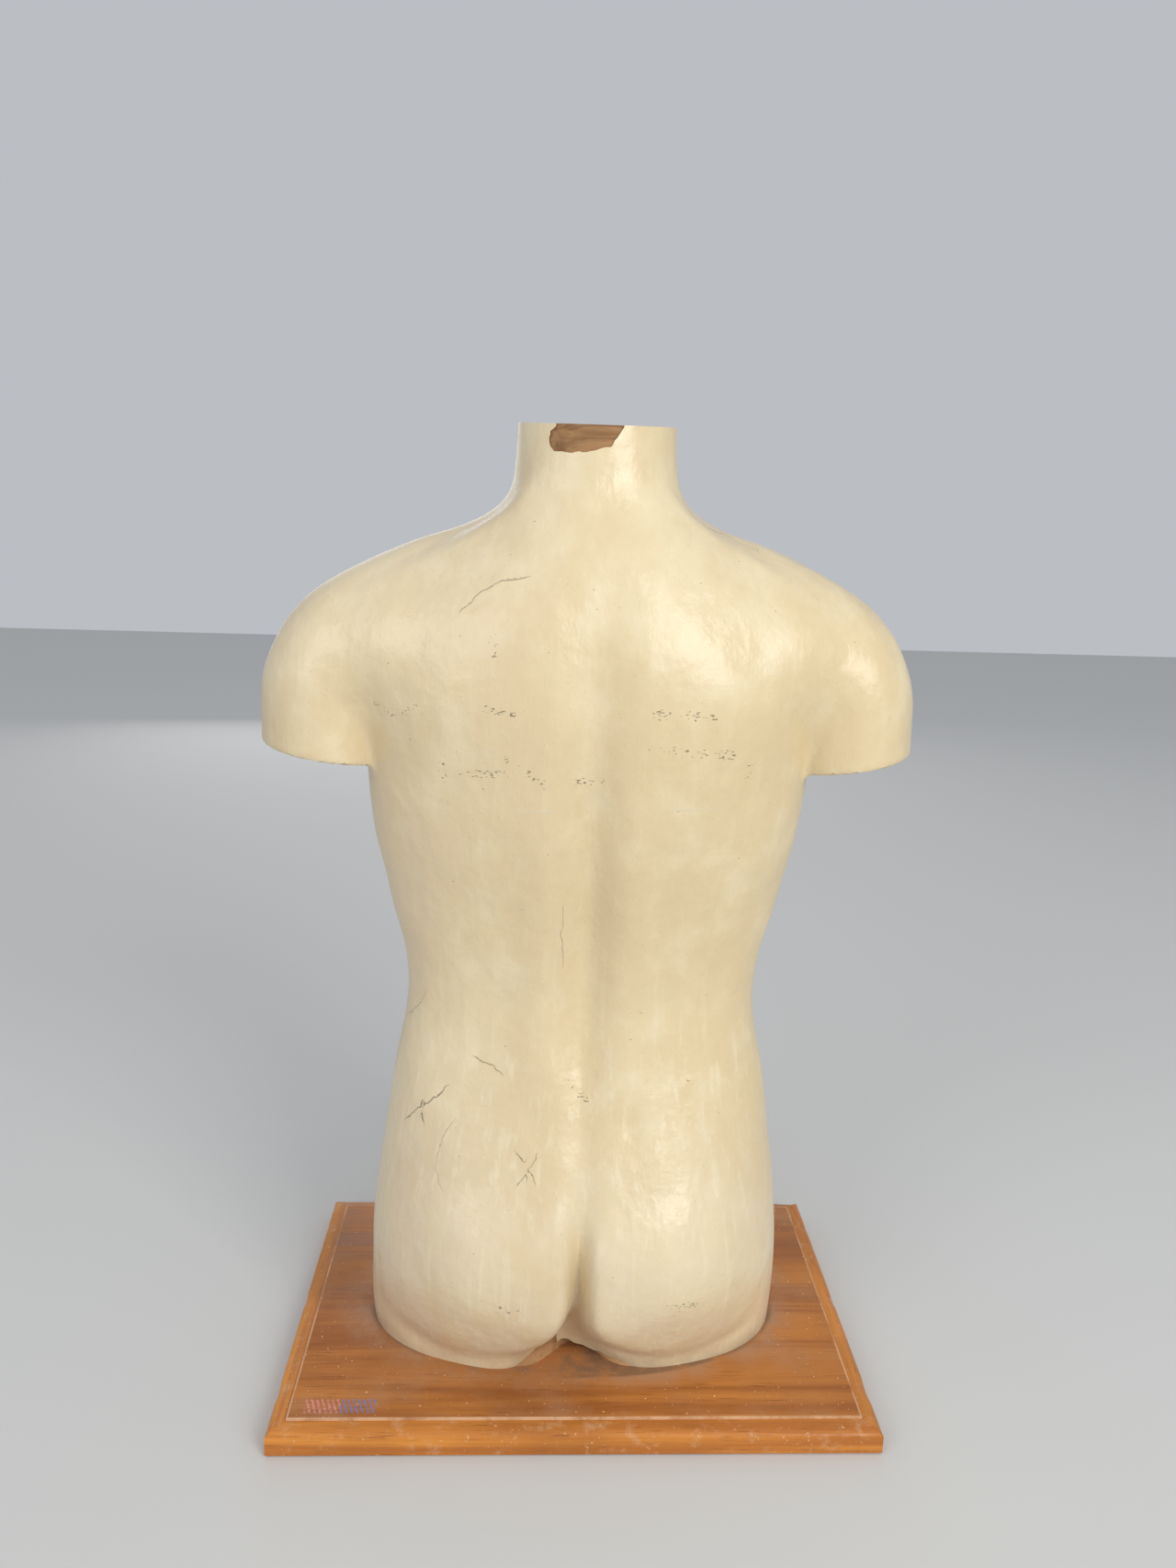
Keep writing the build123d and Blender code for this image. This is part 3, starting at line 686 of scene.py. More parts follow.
def wood_finish(name, light, dark, along_axis, gloss=0.45, scale=1.0, dust=None, worn=None, more=None):
    """Wood with its grain along one axis. Dust lies on it in patches, and worn places are paler."""
    if name in bpy.data.materials:
        return bpy.data.materials[name]
    f = Finish(name, Roughness=gloss, IOR=1.38)
    stretch = tuple(0.045 if a == along_axis else 1.0 for a in range(3))
    figure = f.noise(38 * scale, 5, 0.6, stretch, distortion=0.9)
    pores = f.noise(520 * scale, 3, 0.7, stretch)
    tone = f.noise(6, 3, 0.5, shift=(0.6, 0.2, 0))
    colour = f.blend(f.fade(figure, 0.34, 0.66), dark, light)
    colour = f.blend(f.fade(tone, 0.38, 0.66, 0.0, 0.5), colour, tuple(c * 0.6 for c in dark))
    colour = f.blend(f.fade(pores, 0.56, 0.72, 0, 0.6), colour, tuple(c * 0.35 for c in dark))
    rough = f.fade(figure, 0.3, 0.7, gloss - 0.08, gloss + 0.12)
    if worn:
        rub = f.fade(f.noise(60, 5, 0.7, shift=(0.2, 0.5, 0.1)), 0.53, 0.66)
        colour = f.blend(f.times(rub, 0.30), colour, worn)
        knocks = f.fade(f.noise(260, 3, 0.6, shift=(0.8, 0.1, 0.6)), 0.66, 0.72, 0, 0.7)
        colour = f.blend(knocks, colour, worn)
    if dust:
        haze = f.fade(f.noise(16, 6, 0.65, shift=(0.1, 0.9, 0.3)), 0.45, 0.75, 0.0, 0.34)
        colour = f.blend(haze, colour, dust)
        crumbs = f.fade(f.noise(430, 1, 0.5, shift=(0.5, 0.3, 0.2)), 0.735, 0.765, 0, 0.85)
        colour = f.blend(crumbs, colour, tuple(min(1.0, c * 2.4) for c in dust))
        rough = f.plus(rough, f.times(haze, 0.35))
    if more:
        colour = more(f, colour)
    normal = f.bump(pores, 0.00012, 0.7, f.bump(figure, 0.00025, 0.5))
    f.use(Base_Color=colour, Roughness=rough, Normal=normal)
    return f.material


CRAYON_SPACING = 0.0078  # metres from one crayon stroke to the next


def board_finish(colours):
    """The board's top: veneer, with what wear and wax crayon have left on it, and dirt and painted shadow
    round the figure's foot.
    """
    half_width, half_depth = PANEL_HIGH.x, PANEL_HIGH.y

    def wear(f, colour):
        """Paler edges, a dull ring and a band of dirt and painted shadow round the figure's foot, and a few
        strokes of crayon.
        """
        x, y, _ = f.axes()
        wide, deep = f.maths("ABSOLUTE", x), f.maths("ABSOLUTE", y)
        patches = f.noise(24, 6, 0.7, shift=(0.7, 0.2, 0.5))
        foot = f.maths("POWER", f.maths("DIVIDE", wide, 0.167), 2.2)
        foot = f.plus(foot, f.maths("POWER", f.maths("DIVIDE", deep, 0.096), 2.2))
        ring = f.times(f.fade(foot, 1.55, 1.0), f.fade(patches, 0.38, 0.62, 0.15, 0.75))
        colour = f.blend(ring, colour, colours.dust)
        # A dark, patchy band round the figure's foot: dirt and painted shadow.
        dirt_and_shadow = f.times(f.fade(foot, 1.08, 1.0, 0, 0.55), f.fade(patches, 0.40, 0.60))
        colour = f.blend(dirt_and_shadow, colour, colours.crack)
        side_edge, near_edge = f.maths("SUBTRACT", half_width, wide), f.maths("SUBTRACT", half_depth, deep)
        edge = f.maths("MINIMUM", side_edge, near_edge)
        # Paler along the panel's edges, in patches.
        bare = f.times(f.fade(edge, 0.0020, 0.0004), f.fade(patches, 0.36, 0.58, 0.25, 0.9))
        colour = f.blend(bare, colour, colours.worn_wood)
        slant = f.plus(x, f.times(y, 0.35))
        turn = f.maths("WRAP", f.maths("DIVIDE", slant, CRAYON_SPACING), 1.0)
        bars = f.fade(f.maths("ABSOLUTE", f.maths("SUBTRACT", turn, 0.5)), 0.27, 0.19)
        across = f.times(f.fade(x, -0.2035, -0.2025), f.fade(x, -0.1495, -0.1505))
        deep_in = f.times(f.fade(y, -0.1345, -0.1335), f.fade(y, -0.1195, -0.1205))
        waxy = f.fade(f.noise(520, 3, 0.7), 0.40, 0.56, 0.0, 0.85)
        strokes = f.times(f.times(bars, waxy), f.times(across, deep_in))
        crayon = f.blend(f.fade(x, -0.1775, -0.1765), colours.crayon_pink, colours.crayon_blue)
        return f.blend(strokes, colour, crayon)

    return wood_finish("Veneer", colours.veneer, colours.veneer_dark, 0, 0.42, dust=colours.dust, more=wear)


def steel_finish(colours):
    """Dull steel with a brown bloom of rust."""
    if "Dull steel" in bpy.data.materials:
        return bpy.data.materials["Dull steel"]
    f = Finish("Dull steel", Metallic=1.0, Roughness=0.5)
    bloom = f.noise(300, 4, 0.6)
    f.use(Base_Color=f.blend(f.fade(bloom, 0.45, 0.62), colours.steel, colours.rust),
          Roughness=f.fade(bloom, 0.4, 0.65, 0.35, 0.75), Normal=f.bump(bloom, 0.0002, 0.5))
    return f.material


def paper_finish(colours):
    """Glued brown paper."""
    if "Brown paper" in bpy.data.materials:
        return bpy.data.materials["Brown paper"]
    f = Finish("Brown paper", Roughness=0.85)
    fibre = f.noise(240, 5, 0.7, (1, 1, 0.3))
    f.use(Base_Color=f.blend(fibre, colours.pulp, colours.gesso), Normal=f.bump(fibre, 0.0003, 0.6))
    return f.material


# ---------------------------------------------------------------- settings

def colour_setting(name, description, value):
    """A colour, as linear red, green and blue."""
    return FloatVectorProperty(
        name=name, description=description, default=value, subtype="COLOR", min=0, max=1)


def length_setting(name, description, value):
    """A length, given here in millimetres."""
    return FloatProperty(
        name=name, description=description, default=value * MM, min=0, precision=4,
        subtype="DISTANCE", unit="LENGTH")


class TorsoSizes(bpy.types.PropertyGroup):
    """Sizes of the body form and its board."""

    grid_step: length_setting("Grid step", "Spacing of the surface's quads", 2.8)
    rim_rounding: length_setting("Rim rounding", "Softness of the edge round each arm cut", 3.5)
    armpit_blend: length_setting("Armpit blend", "Width of the low crease where arm meets trunk", 8.0)
    shoulder_blend: length_setting("Shoulder blend", "Width of the crease over the shoulder", 32.0)
    blade_blend: length_setting("Blade blend", "Extra width of that crease at the shoulder blade", 26.0)
    blade_fill: length_setting("Blade fill", "How far the hollow beside the shoulder blade is filled", 4.5)
    unevenness: length_setting("Unevenness", "How far the hand-laid surface strays", 0.4)
    paint_coat: length_setting("Paint coat", "Gesso and paint over the neck block", 1.5)
    neck_block_height: length_setting("Neck block height", "Height of the block in the neck", 42.0)
    wall: length_setting("Wall", "Thickness of the shells round the arm caps", 5.0)
    cap_thickness: length_setting("Cap thickness", "Thickness of the wooden arm caps", 12.0)
    cap_clearance: length_setting("Cap clearance", "How far a cap's hollow opens past the arm's cut", 0.6)
    cap_inner_x: length_setting("Cap inner side", "An arm cap's inner side, from the figure's middle", 178.0)
    rim_gap_depth: length_setting("Rim gap depth", "How far the broken lower rim goes in", 16.0)
    nose_wear: length_setting("Nose wear", "How far the nose of the mouldings is rubbed away", 0.5)
    ovolo_steps: IntProperty(
        name="Ovolo steps", description="Faces round the moulding's ovolo", default=10, min=2,
        subtype="UNSIGNED")


class TorsoColours(bpy.types.PropertyGroup):
    """Colours of the figure and its board."""

    paint: colour_setting("Paint", "Cream lacquer", (0.735, 0.625, 0.405))
    paint_light: colour_setting("Light paint", "Where the lacquer is thick and clean", (0.800, 0.715, 0.510))
    # Warm paint, also laid as painted shade over the middle and upper back.
    paint_warm_and_shade: colour_setting("Warm paint", "Where the lacquer has browned", (0.665, 0.530, 0.315))
    # Rosy paint, also laid as painted shade over the left side.
    paint_rosy_and_shade: colour_setting("Rosy paint", "Where the lacquer has gone pink", (0.690, 0.565, 0.400))
    # Handling dirt, also laid as painted shade just above the board.
    grime_and_shade: colour_setting("Grime", "Handling dirt", (0.330, 0.235, 0.135))
    # Also laid round the figure's foot on the board as painted shadow.
    crack: colour_setting("Crack", "Inside cracks and scuffs", (0.085, 0.055, 0.032))
    gesso: colour_setting("Gesso", "Bare ground under the paint", (0.640, 0.560, 0.420))
    pulp: colour_setting("Pulp", "Bare papier-mache", (0.180, 0.120, 0.070))
    neck_wood: colour_setting("Neck wood", "Bare wood of the neck block", (0.540, 0.310, 0.145))
    neck_wood_dark: colour_setting("Neck wood grain", "Darker grain of the neck block", (0.260, 0.130, 0.052))
    veneer: colour_setting("Veneer", "Board top", (0.520, 0.195, 0.040))
    veneer_dark: colour_setting("Veneer grain", "Darker grain of the board top", (0.330, 0.105, 0.020))
    dust: colour_setting("Dust", "Dust on the board", (0.430, 0.250, 0.150))
    moulding: colour_setting("Moulding", "Polished edge strips", (0.700, 0.275, 0.048))
    moulding_dark: colour_setting("Moulding grain", "Darker grain of the edge strips", (0.450, 0.150, 0.028))
    worn_wood: colour_setting("Worn wood", "Edges rubbed bare", (0.680, 0.420, 0.240))
    crayon_pink: colour_setting("Pink crayon", "Wax strokes on the board", (0.740, 0.270, 0.290))
    crayon_blue: colour_setting("Blue crayon", "Wax strokes on the board", (0.120, 0.200, 0.520))
    steel: colour_setting("Steel", "Clean steel", (0.500, 0.480, 0.450))
    rust: colour_setting("Rust", "Rust on the steel", (0.210, 0.100, 0.050))


def in_millimetres():
    """The lengths among the settings, in millimetres, with the seven digits that a setting holds."""
    settings = bpy.context.scene.torso_sizes
    names = [name for name in TorsoSizes.__annotations__ if name != "ovolo_steps"]
    values = [float(np.float32(round(getattr(settings, name) / MM, 4))) for name in names]
    return SimpleNamespace(**dict(zip(names, values)))


# ---------------------------------------------------------------- operators

class TORSO_OT_shells(bpy.types.Operator):
    """Builds the painted half shells that meet in the seam plane"""

    bl_idname = "torso.shells"
    bl_label = "Half shells"

    def execute(self, context):
        sizes, colours = in_millimetres(), context.scene.torso_colours
        step = sizes.grid_step * 1.0
        low, high = np.array(FORM_LOW), np.array(FORM_HIGH)
        counts = np.ceil((high - low) / step).astype(int)
        rulers = [low[a] + step * np.arange(counts[a]) for a in range(3)]
        x, y, z = np.meshgrid(*rulers, indexing="ij", sparse=True)
        values = np.broadcast_to(body_field(x, y, z), tuple(counts)).astype(np.float32)
        points, faces = net_surface(values, low, step)
        points = settle(points, body_field)
        body = new_piece("whole_body", points=in_frame(points), faces=faces)
        bm = bmesh.new()
        bm.from_mesh(body.data)
        top, up = neck_cut()
        planar_cut(bm, top, up)
        planar_cut(bm, Vector((0, 0, BOARD_TOP * MM)), Vector((0, 0, -1)))
        face_outwards(bm)
        bm.to_mesh(body.data)
        bm.free()

        block = neck_form(sizes.paint_coat)
        bottom, up = neck_cut(sizes.neck_block_height)
        face_outwards(block)
        planar_cut(block, bottom, -up)
        face_outwards(block)
        cutters = [new_piece("block_room", bm=block)]
        for side in (1, -1):
            cutters.append(new_piece("cap_room", bm=stump_disc(side, sizes.wall, sizes.cap_clearance)))
        rim = NECK_TOP + neck_back_y() * tan(NECK_TILT)
        chip = ragged([(x, rim - drop) for x, drop in NECK_CHIP], 0.35)
        cutters.append(new_piece("chip_room", bm=prism(chip, BEHIND_ALL, CHIP_FRONT)))
        gap = ragged(RIM_GAP, 0.3)
        gap_front = gap_floor_y() + sizes.rim_gap_depth
        cutters.append(new_piece("gap_room", bm=prism(gap, BEHIND_ALL, gap_front)))
        subtract(body, cutters)

        for name, node, normal in (("back_shell_painted", "back_shell", (0, 1, 0)),
                                   ("front_shell_painted", "front_shell", (0, -1, 0))):
            bm = bmesh.new()
            bm.from_mesh(body.data)
            planar_cut(bm, Vector((0, SEAM_Y * MM, 0)), Vector(normal))
            face_outwards(bm)
            bmesh.ops.triangulate(bm, faces=[face for face in bm.faces if len(face.verts) > 4])
            piece = new_piece(name, bm=bm)
            finishes = [paint_finish(colours), broken_finish(colours)]
            finish_piece(piece, [node], finishes)
            self.mark_broken(piece)
            carry_marks(piece.data)
        bpy.data.objects.remove(body)
        return {"FINISHED"}

    def mark_broken(self, piece):
        """Faces under the skin are bare ground or pulp."""
        mesh = piece.data
        centres = np.zeros(len(mesh.polygons) * 3)
        mesh.polygons.foreach_get("center", centres)
        x, y, z = (centres.reshape(-1, 3) / MM - (0, 0, BOARD_TOP)).T
        neck = z > NECK_TOP - 60
        gap = (z < 12) & (np.abs(x - 14) < 32)
        arm = np.abs(x) > 170
        near = (neck | gap | arm) & (np.abs(y - SEAM_Y) > 0.1)
        under = near & (body_field(x, y, z) < -0.5)
        mesh.polygons.foreach_set("material_index", under.astype(np.int32))
        mesh.update()


def neck_back_y():
    """Where the back of the neck is, at its rim."""
    return -along(TRUNK, 2, np.array(NECK_TOP))


def gap_floor_y():
    """Where the skin is in the broken lower rim, between the thighs."""
    y = np.linspace(BEHIND_ALL, -20, 221)
    inside = body_field(np.full(y.shape, 12.0), y, np.full(y.shape, 4.0)) < 0
    return y[np.argmax(inside)]


class TORSO_OT_neck_block(bpy.types.Operator):
    """Builds the wooden block that fills the neck"""

    bl_idname = "torso.neck_block"
    bl_label = "Neck block"

    def execute(self, context):
        sizes, colours = in_millimetres(), context.scene.torso_colours
        bm = neck_form(sizes.paint_coat + FIT)
        face_outwards(bm)
        top, up = neck_cut()
        planar_cut(bm, top, up)
        bottom, up = neck_cut(sizes.neck_block_height - FIT)
        planar_cut(bm, bottom, -up)
        face_outwards(bm)
        light, dark = tuple(colours.neck_wood), tuple(colours.neck_wood_dark)
        wood = wood_finish("Neck wood", light, dark, 0, 0.75, 4.5)
        finish_piece(new_piece("neck_block_wood", bm=bm), ["neck_block"], [wood])
        return {"FINISHED"}


class TORSO_OT_arm_caps(bpy.types.Operator):
    """Builds the wooden cap in the end of each arm"""

    bl_idname = "torso.arm_caps"
    bl_label = "Arm caps"

    def execute(self, context):
        sizes, colours = in_millimetres(), context.scene.torso_colours
        light, dark = tuple(colours.neck_wood), tuple(colours.neck_wood_dark)
        wood = wood_finish("Cap wood", light, dark, 1, 0.7, 1.2)
        for side, name in ((1, "right"), (-1, "left")):
            bm = stump_disc(side, sizes.wall + FIT, 0.0)
            bmesh.ops.bevel(bm, geom=bm.edges, offset=0.4 * MM, segments=1, affect="EDGES")
            piece = new_piece(f"arm_cap_{name}_wood", bm=bm)
            finish_piece(piece, [f"arm_cap_{name}"], [wood])
        return {"FINISHED"}


class TORSO_OT_panel(bpy.types.Operator):
    """Builds the veneered panel of the board"""

    bl_idname = "torso.base_panel"
    bl_label = "Board panel"

    def execute(self, context):
        colours = context.scene.torso_colours
        bm = bmesh.new()
        bmesh.ops.create_cube(bm, size=1.0)
        size = PANEL_HIGH - PANEL_LOW
        middle = (PANEL_HIGH + PANEL_LOW) / 2
        bmesh.ops.scale(bm, vec=size, verts=bm.verts)
        bmesh.ops.translate(bm, vec=middle, verts=bm.verts)
        bmesh.ops.bevel(bm, geom=bm.edges, offset=0.5 * MM, segments=3, profile=0.5, affect="EDGES")
        piece = new_piece("base_panel_veneer", bm=bm)
        finish_piece(piece, ["base_panel"], [board_finish(colours)])
        return {"FINISHED"}


class TORSO_OT_mouldings(bpy.types.Operator):
    """Builds the four mitred edge strips of the board, rubbed along the nose"""

    bl_idname = "torso.mouldings"
    bl_label = "Edge mouldings"

    def execute(self, context):
        colours = context.scene.torso_colours
        sides = {"back": (0, -1), "front": (0, 1), "right": (1, 0), "left": (-1, 0)}
        for side, outward in sides.items():
            grain = 0 if outward[0] == 0 else 1
            name = "Moulding wood along " + "XY"[grain]
            wood = wood_finish(name, colours.moulding, colours.moulding_dark, grain, 0.36, 1.3,
                               worn=tuple(colours.worn_wood))
            strip = self.strip(context, f"moulding_{side}", outward)
            piece = new_piece(f"moulding_{side}_wood", bm=strip)
            finish_piece(piece, [f"moulding_{side}"], [wood])
        return {"FINISHED"}

    def outline(self, context, width, height):
        """Outline of a strip: distance out from the panel and height, in metres."""
        steps = context.scene.torso_sizes.ovolo_steps
        nose, drop, foot = 9 * MM, 5 * MM, 0.8 * MM
        turns = [pi / 2 * i / steps for i in range(steps + 1)]
        ovolo = [(width - nose + nose * cos(t), height - drop + drop * sin(t)) for t in turns]
        return [(0, 0), (width - foot, 0), (width, foot), (width, height * 0.4), *ovolo, (0, height)]

    def strip(self, context, node, outward):
        """One strip between its mitres, its nose worn unevenly."""
        low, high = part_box(node)
        lengthwise = 0 if outward[0] == 0 else 1
        width = (high - low)[1 - lengthwise]
        height = high.z - low.z
        length = (high - low)[lengthwise]
        reach = max(abs(low[1 - lengthwise]), abs(high[1 - lengthwise]))
        outline = self.outline(context, width, height)
        wear = in_millimetres().nose_wear * MM
        ring_spacing = 0.004
        count = int(length / ring_spacing)
        rings = []
        for i in range(count + 1):
            ring = []
            for out, up in outline:
                share = 2 * i / count - 1
                s = share * (length / 2 - (width - out))
                waves = sin(s * 61 + reach * 90) + 0.6 * sin(s * 173 + 1.0) + 0.5 * sin(s * 37)
                rub = max(0.0, waves - 0.5)
                raised = 1.0 if up > height * 0.55 and out > width * 0.45 else 0.0
                inset = wear * rub * raised
                across = reach - width + out - inset
                point = [0.0, 0.0, up - inset * 0.8]
                point[lengthwise] = s
                point[1 - lengthwise] = outward[1 - lengthwise] * across
                ring.append(point)
            rings.append(ring)
        bm = rings_to_bmesh(rings)
        face_outwards(bm)
        return bm


# the pins: their radius and length, and how far the outer ones sit from the middle of a side
PIN_RADIUS, PIN_LENGTH = 0.7, 29
PIN_REACH_LONG, PIN_REACH_SHORT = 0.36 * 455, 0.3 * 305


class TORSO_OT_fasteners(bpy.types.Operator):
    """Builds the pins in the edge strips of the board"""

    bl_idname = "torso.fasteners"
    bl_label = "Pins"

    def execute(self, context):
        colours = context.scene.torso_colours
        steel = steel_finish(colours)
        tree = fastener_tree()
        low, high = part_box("moulding_pins")
        (out_x, out_y), middle = (high.x, high.y), (low.z + high.z) / 2
        along_x = (-PIN_REACH_LONG * MM, 0.0, PIN_REACH_LONG * MM)
        along_y = (-PIN_REACH_SHORT * MM, PIN_REACH_SHORT * MM)
        at = [(x, end * out_y, middle) for end in (1, -1) for x in along_x]
        at += [(end * out_x, y, middle) for end in (1, -1) for y in along_y]
        ways = [(0, -end, 0) for end in (1, -1) for _ in along_x]
        ways += [(-end, 0, 0) for end in (1, -1) for _ in along_y]
        given = {"Head radius": PIN_RADIUS * MM, "Shank radius": PIN_RADIUS * MM,
                 "Length": PIN_LENGTH * MM, "Material": steel}
        pins = self.placed(tree, "moulding_pins_steel", at, ways, given)
        finish_piece(pins, ["moulding_pins"], [])
        return {"FINISHED"}

    def placed(self, tree, name, places, ways, given):
        """One fastener at each place, pointing its own way, as a plain mesh."""
        mesh = bpy.data.meshes.new(name)
        mesh.from_pydata(places, [], [])
        way = mesh.attributes.new("way", "FLOAT_VECTOR", "POINT")
        way.data.foreach_set("vector", [c for w in ways for c in w])
        piece = bpy.data.objects.new(name, mesh)
        bpy.context.scene.collection.objects.link(piece)
        modifier = piece.modifiers.new("Fasteners", "NODES")
        modifier.node_group = tree
        for item in tree.interface.items_tree:
            if item.in_out == "INPUT" and item.name in given:
                modifier[item.identifier] = given[item.name]
        evaluated = piece.evaluated_get(bpy.context.evaluated_depsgraph_get())
        piece.data = bpy.data.meshes.new_from_object(evaluated)
        piece.modifiers.clear()
        return piece


def fastener_tree():
    """Geometry nodes: a shank with a head on every point, turned to the point's own way."""
    tree = bpy.data.node_groups.new("Fasteners on points", "GeometryNodeTree")
    face = tree.interface
    face.new_socket("Geometry", in_out="INPUT", socket_type="NodeSocketGeometry")
    for label in ("Head radius", "Shank radius", "Length"):
        face.new_socket(label, in_out="INPUT", socket_type="NodeSocketFloat")
    face.new_socket("Material", in_out="INPUT", socket_type="NodeSocketMaterial")
    face.new_socket("Geometry", in_out="OUTPUT", socket_type="NodeSocketGeometry")
    nodes, links = tree.nodes, tree.links
    given, result = nodes.new("NodeGroupInput"), nodes.new("NodeGroupOutput")

    def cone(bottom, top, depth):
        node = nodes.new("GeometryNodeMeshCone")
        node.inputs["Vertices"].default_value = 24
        links.new(top, node.inputs["Radius Top"])
        links.new(bottom, node.inputs["Radius Bottom"])
        links.new(depth, node.inputs["Depth"])
        return node.outputs["Mesh"]

    def arithmetic(operation, a, b):
        node = nodes.new("ShaderNodeMath")
        node.operation = operation
        for socket, value in zip(node.inputs, (a, b)):
            if isinstance(value, float):
                socket.default_value = value
            else:
                links.new(value, socket)
        return node.outputs[0]

    head, shank, length = (given.outputs[n] for n in ("Head radius", "Shank radius", "Length"))
    head_depth = arithmetic("ADD", arithmetic("SUBTRACT", head, shank), 0.0002)
    joined = nodes.new("GeometryNodeJoinGeometry")
    links.new(cone(head, shank, head_depth), joined.inputs[0])
    links.new(cone(shank, shank, length), joined.inputs[0])
    copies = nodes.new("GeometryNodeInstanceOnPoints")
    way = nodes.new("GeometryNodeInputNamedAttribute")
    way.data_type = "FLOAT_VECTOR"
    way.inputs["Name"].default_value = "way"
    turned = nodes.new("FunctionNodeAlignRotationToVector")
    turned.axis = "Z"
    links.new(way.outputs[0], turned.inputs["Vector"])
    links.new(given.outputs["Geometry"], copies.inputs["Points"])
    links.new(joined.outputs[0], copies.inputs["Instance"])
    links.new(turned.outputs[0], copies.inputs["Rotation"])
    real = nodes.new("GeometryNodeRealizeInstances")
    links.new(copies.outputs[0], real.inputs[0])
    coloured = nodes.new("GeometryNodeSetMaterial")
    links.new(real.outputs[0], coloured.inputs["Geometry"])
    links.new(given.outputs["Material"], coloured.inputs["Material"])
    links.new(coloured.outputs[0], result.inputs[0])
    return tree


class TORSO_OT_inner_pieces(bpy.types.Operator):
    """Gives the hip plate, tapes, brads and screws inside the figure their own materials"""

    bl_idname = "torso.inner_pieces"
    bl_label = "Inner pieces"

    def execute(self, context):
        colours = context.scene.torso_colours
        light, dark = tuple(colours.neck_wood), tuple(colours.neck_wood_dark)
        wood = wood_finish("Plate wood", light, dark, 0, 0.75)
        for name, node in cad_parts.items():
            if node.hide_render:
                continue
            if name.startswith("side_seam_tape"):
                self.tape(node, name, colours)
                continue
            if "brads" in name or "screws" in name:
                material = steel_finish(colours)
            elif "tape" in name:
                material = paper_finish(colours)
            elif name == "hip_plate":
                material = wood
            else:
                raise RuntimeError(f"no finish for {name}")
            node.data.materials.clear()
            node.data.materials.append(material)
        return {"FINISHED"}

    def tape(self, node, name, colours):
        """A side tape, a little further in than its node, to stay under the crease of the armpit."""
        inward = 0.955
        bm = bmesh.new()
        bm.from_mesh(node.data)
        bmesh.ops.remove_doubles(bm, verts=bm.verts, dist=1e-6)
        bmesh.ops.scale(bm, vec=(inward, 1, 1), verts=bm.verts)
        face_outwards(bm)
        finish_piece(new_piece(f"{name}_paper", bm=bm), [name], [paper_finish(colours)])


# name, place, size, watts and colour of each soft light
LIGHTS = (
    ("window on the left", (-2.0, -2.2, 1.7), (1.5, 1.8), 22, (1.0, 0.97, 0.97)),
    ("window on the right", (1.6, -2.5, 1.6), (1.5, 1.8), 58, (1.0, 0.985, 0.93)),
    ("ceiling", (0.2, -0.6, 3.0), (2.6, 2.6), 9, (1.0, 1.0, 1.0)),
    ("fill behind", (-0.4, 3.0, 0.9), (2.0, 1.4), 8, (1.0, 1.0, 1.0)),
)
LIT_PLACE = (0, 0, 0.4)  # where the lights point
WORLD_COLOUR, WORLD_STRENGTH = (0.80, 0.83, 0.88, 1), 0.62
FLOOR_COLOUR, FLOOR_REACH, FLOOR_DROP = (0.62, 0.62, 0.61, 1), 6.0, 0.0005
CAMERA_PLACE, CAMERA_TURN = (-0.0393, -0.8924, 0.6690), (90 - 12.40, -1.65, -2.19)
CAMERA_LENS, FILM_HEIGHT = 27.04, 36.0


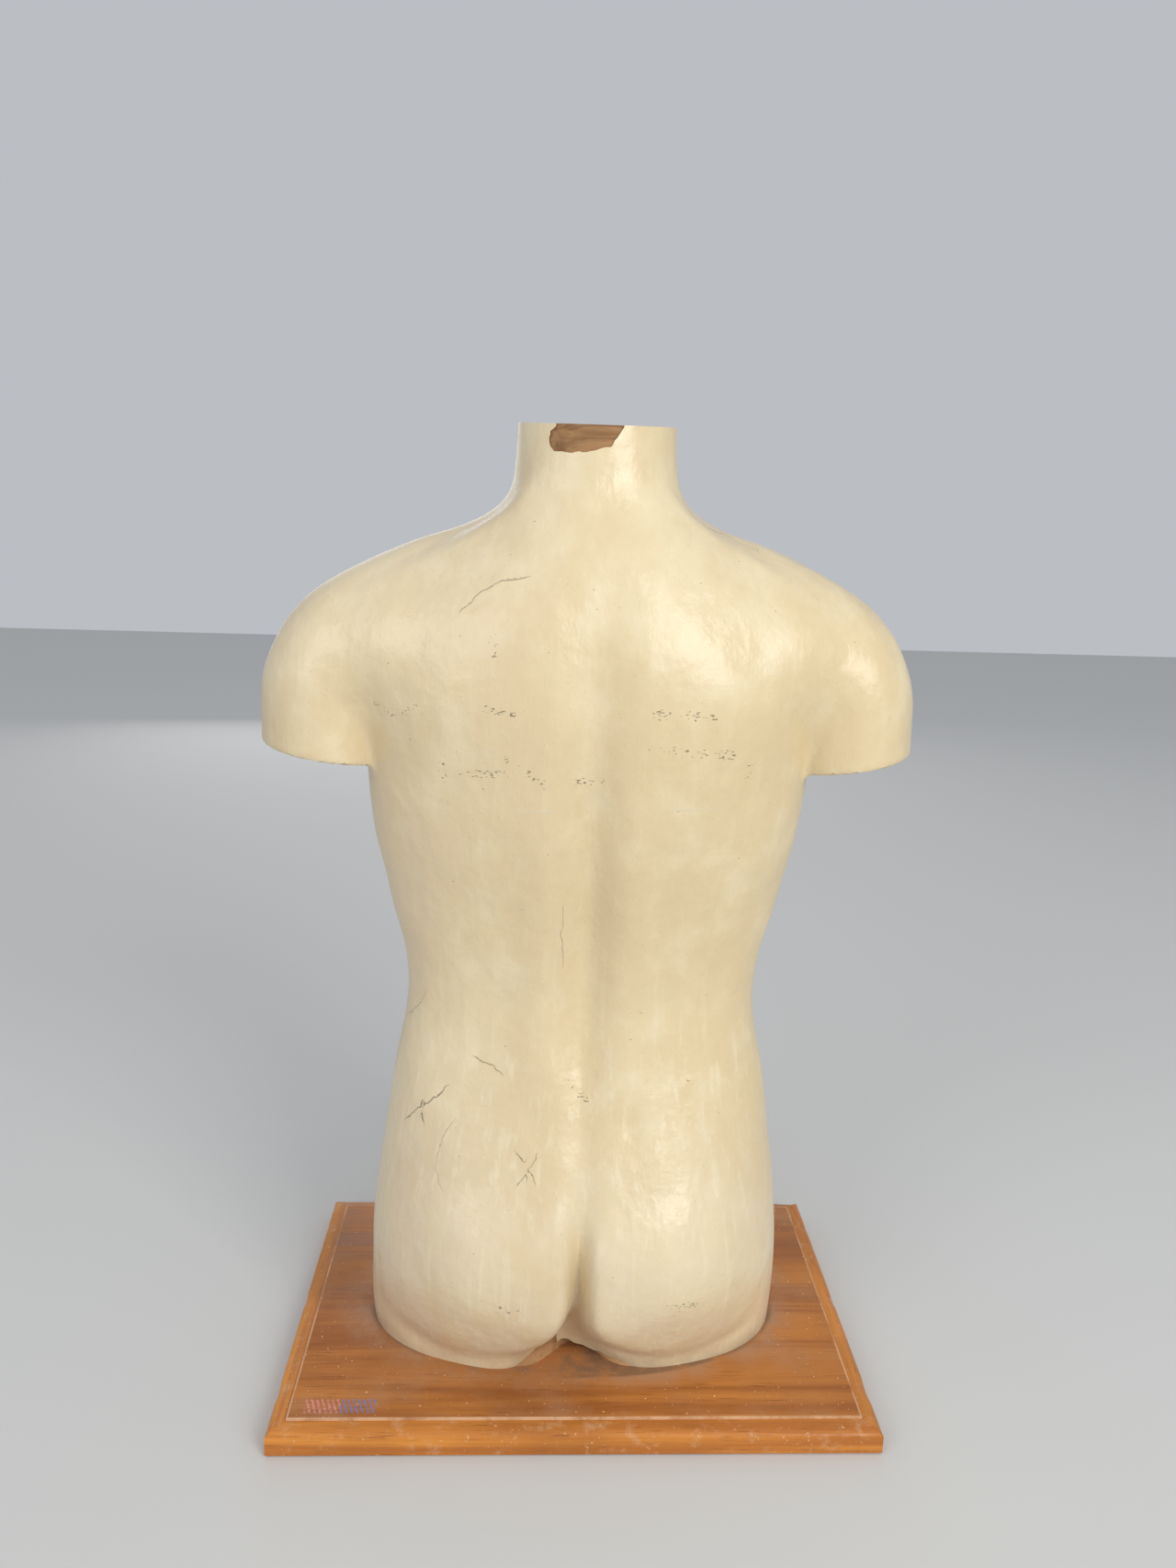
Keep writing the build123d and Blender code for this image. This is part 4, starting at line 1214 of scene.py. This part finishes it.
class TORSO_OT_stage(bpy.types.Operator):
    """Sets the floor, the soft lights and the camera"""

    bl_idname = "torso.stage"
    bl_label = "Stage"

    def execute(self, context):
        scene = context.scene
        bm = bmesh.new()
        bmesh.ops.create_grid(bm, x_segments=1, y_segments=1, size=FLOOR_REACH)
        floor = new_piece("floor", bm=bm)
        pale = Finish("Pale floor", Roughness=0.8, Base_Color=FLOOR_COLOUR)
        floor.data.materials.append(pale.material)
        floor.location.z = -FLOOR_DROP

        world = bpy.data.worlds.new("Studio")
        world.use_nodes = True
        background = world.node_tree.nodes["Background"]
        background.inputs["Color"].default_value = WORLD_COLOUR
        background.inputs["Strength"].default_value = WORLD_STRENGTH
        scene.world = world

        for name, place, size, power, colour in LIGHTS:
            light = bpy.data.lights.new(name, "AREA")
            light.shape = "RECTANGLE"
            light.size, light.size_y = size
            light.energy = power
            light.color = colour
            lamp = bpy.data.objects.new(name, light)
            lamp.location = place
            towards = Vector(LIT_PLACE) - Vector(place)
            lamp.rotation_euler = towards.to_track_quat("-Z", "Y").to_euler()
            scene.collection.objects.link(lamp)

        camera = bpy.data.objects.new("camera", bpy.data.cameras.new("camera"))
        camera.data.sensor_fit = "VERTICAL"
        camera.data.sensor_height = FILM_HEIGHT
        camera.data.lens = CAMERA_LENS
        camera.location = CAMERA_PLACE
        camera.rotation_euler = Euler([radians(turn) for turn in CAMERA_TURN], "XYZ")
        scene.collection.objects.link(camera)
        scene.camera = camera
        scene.view_settings.view_transform = "Standard"
        return {"FINISHED"}


class TORSO_PT_panel(bpy.types.Panel):
    """Lists the steps that build the torso"""

    bl_idname = "TORSO_PT_panel"
    bl_label = "Display torso"
    bl_space_type = "VIEW_3D"
    bl_region_type = "UI"
    bl_category = "Torso"

    def draw(self, context):
        for step in STEPS:
            self.layout.operator(step.bl_idname)
        for settings in (context.scene.torso_sizes, context.scene.torso_colours):
            box = self.layout.box()
            for name in settings.__annotations__:
                box.prop(settings, name)


STEPS = (
    TORSO_OT_shells, TORSO_OT_neck_block, TORSO_OT_arm_caps, TORSO_OT_panel, TORSO_OT_mouldings,
    TORSO_OT_fasteners, TORSO_OT_inner_pieces, TORSO_OT_stage,
)
CLASSES = (TorsoSizes, TorsoColours, *STEPS, TORSO_PT_panel)


def register():
    for cls in CLASSES:
        bpy.utils.register_class(cls)
    bpy.types.Scene.torso_sizes = PointerProperty(type=TorsoSizes)
    bpy.types.Scene.torso_colours = PointerProperty(type=TorsoColours)


def unregister():
    del bpy.types.Scene.torso_sizes
    del bpy.types.Scene.torso_colours
    for cls in reversed(CLASSES):
        bpy.utils.unregister_class(cls)


def main():
    register()
    bpy.ops.torso.shells()
    bpy.ops.torso.neck_block()
    bpy.ops.torso.arm_caps()
    bpy.ops.torso.base_panel()
    bpy.ops.torso.mouldings()
    bpy.ops.torso.fasteners()
    bpy.ops.torso.inner_pieces()
    bpy.ops.torso.stage()


if __name__ == "__main__":
    main()
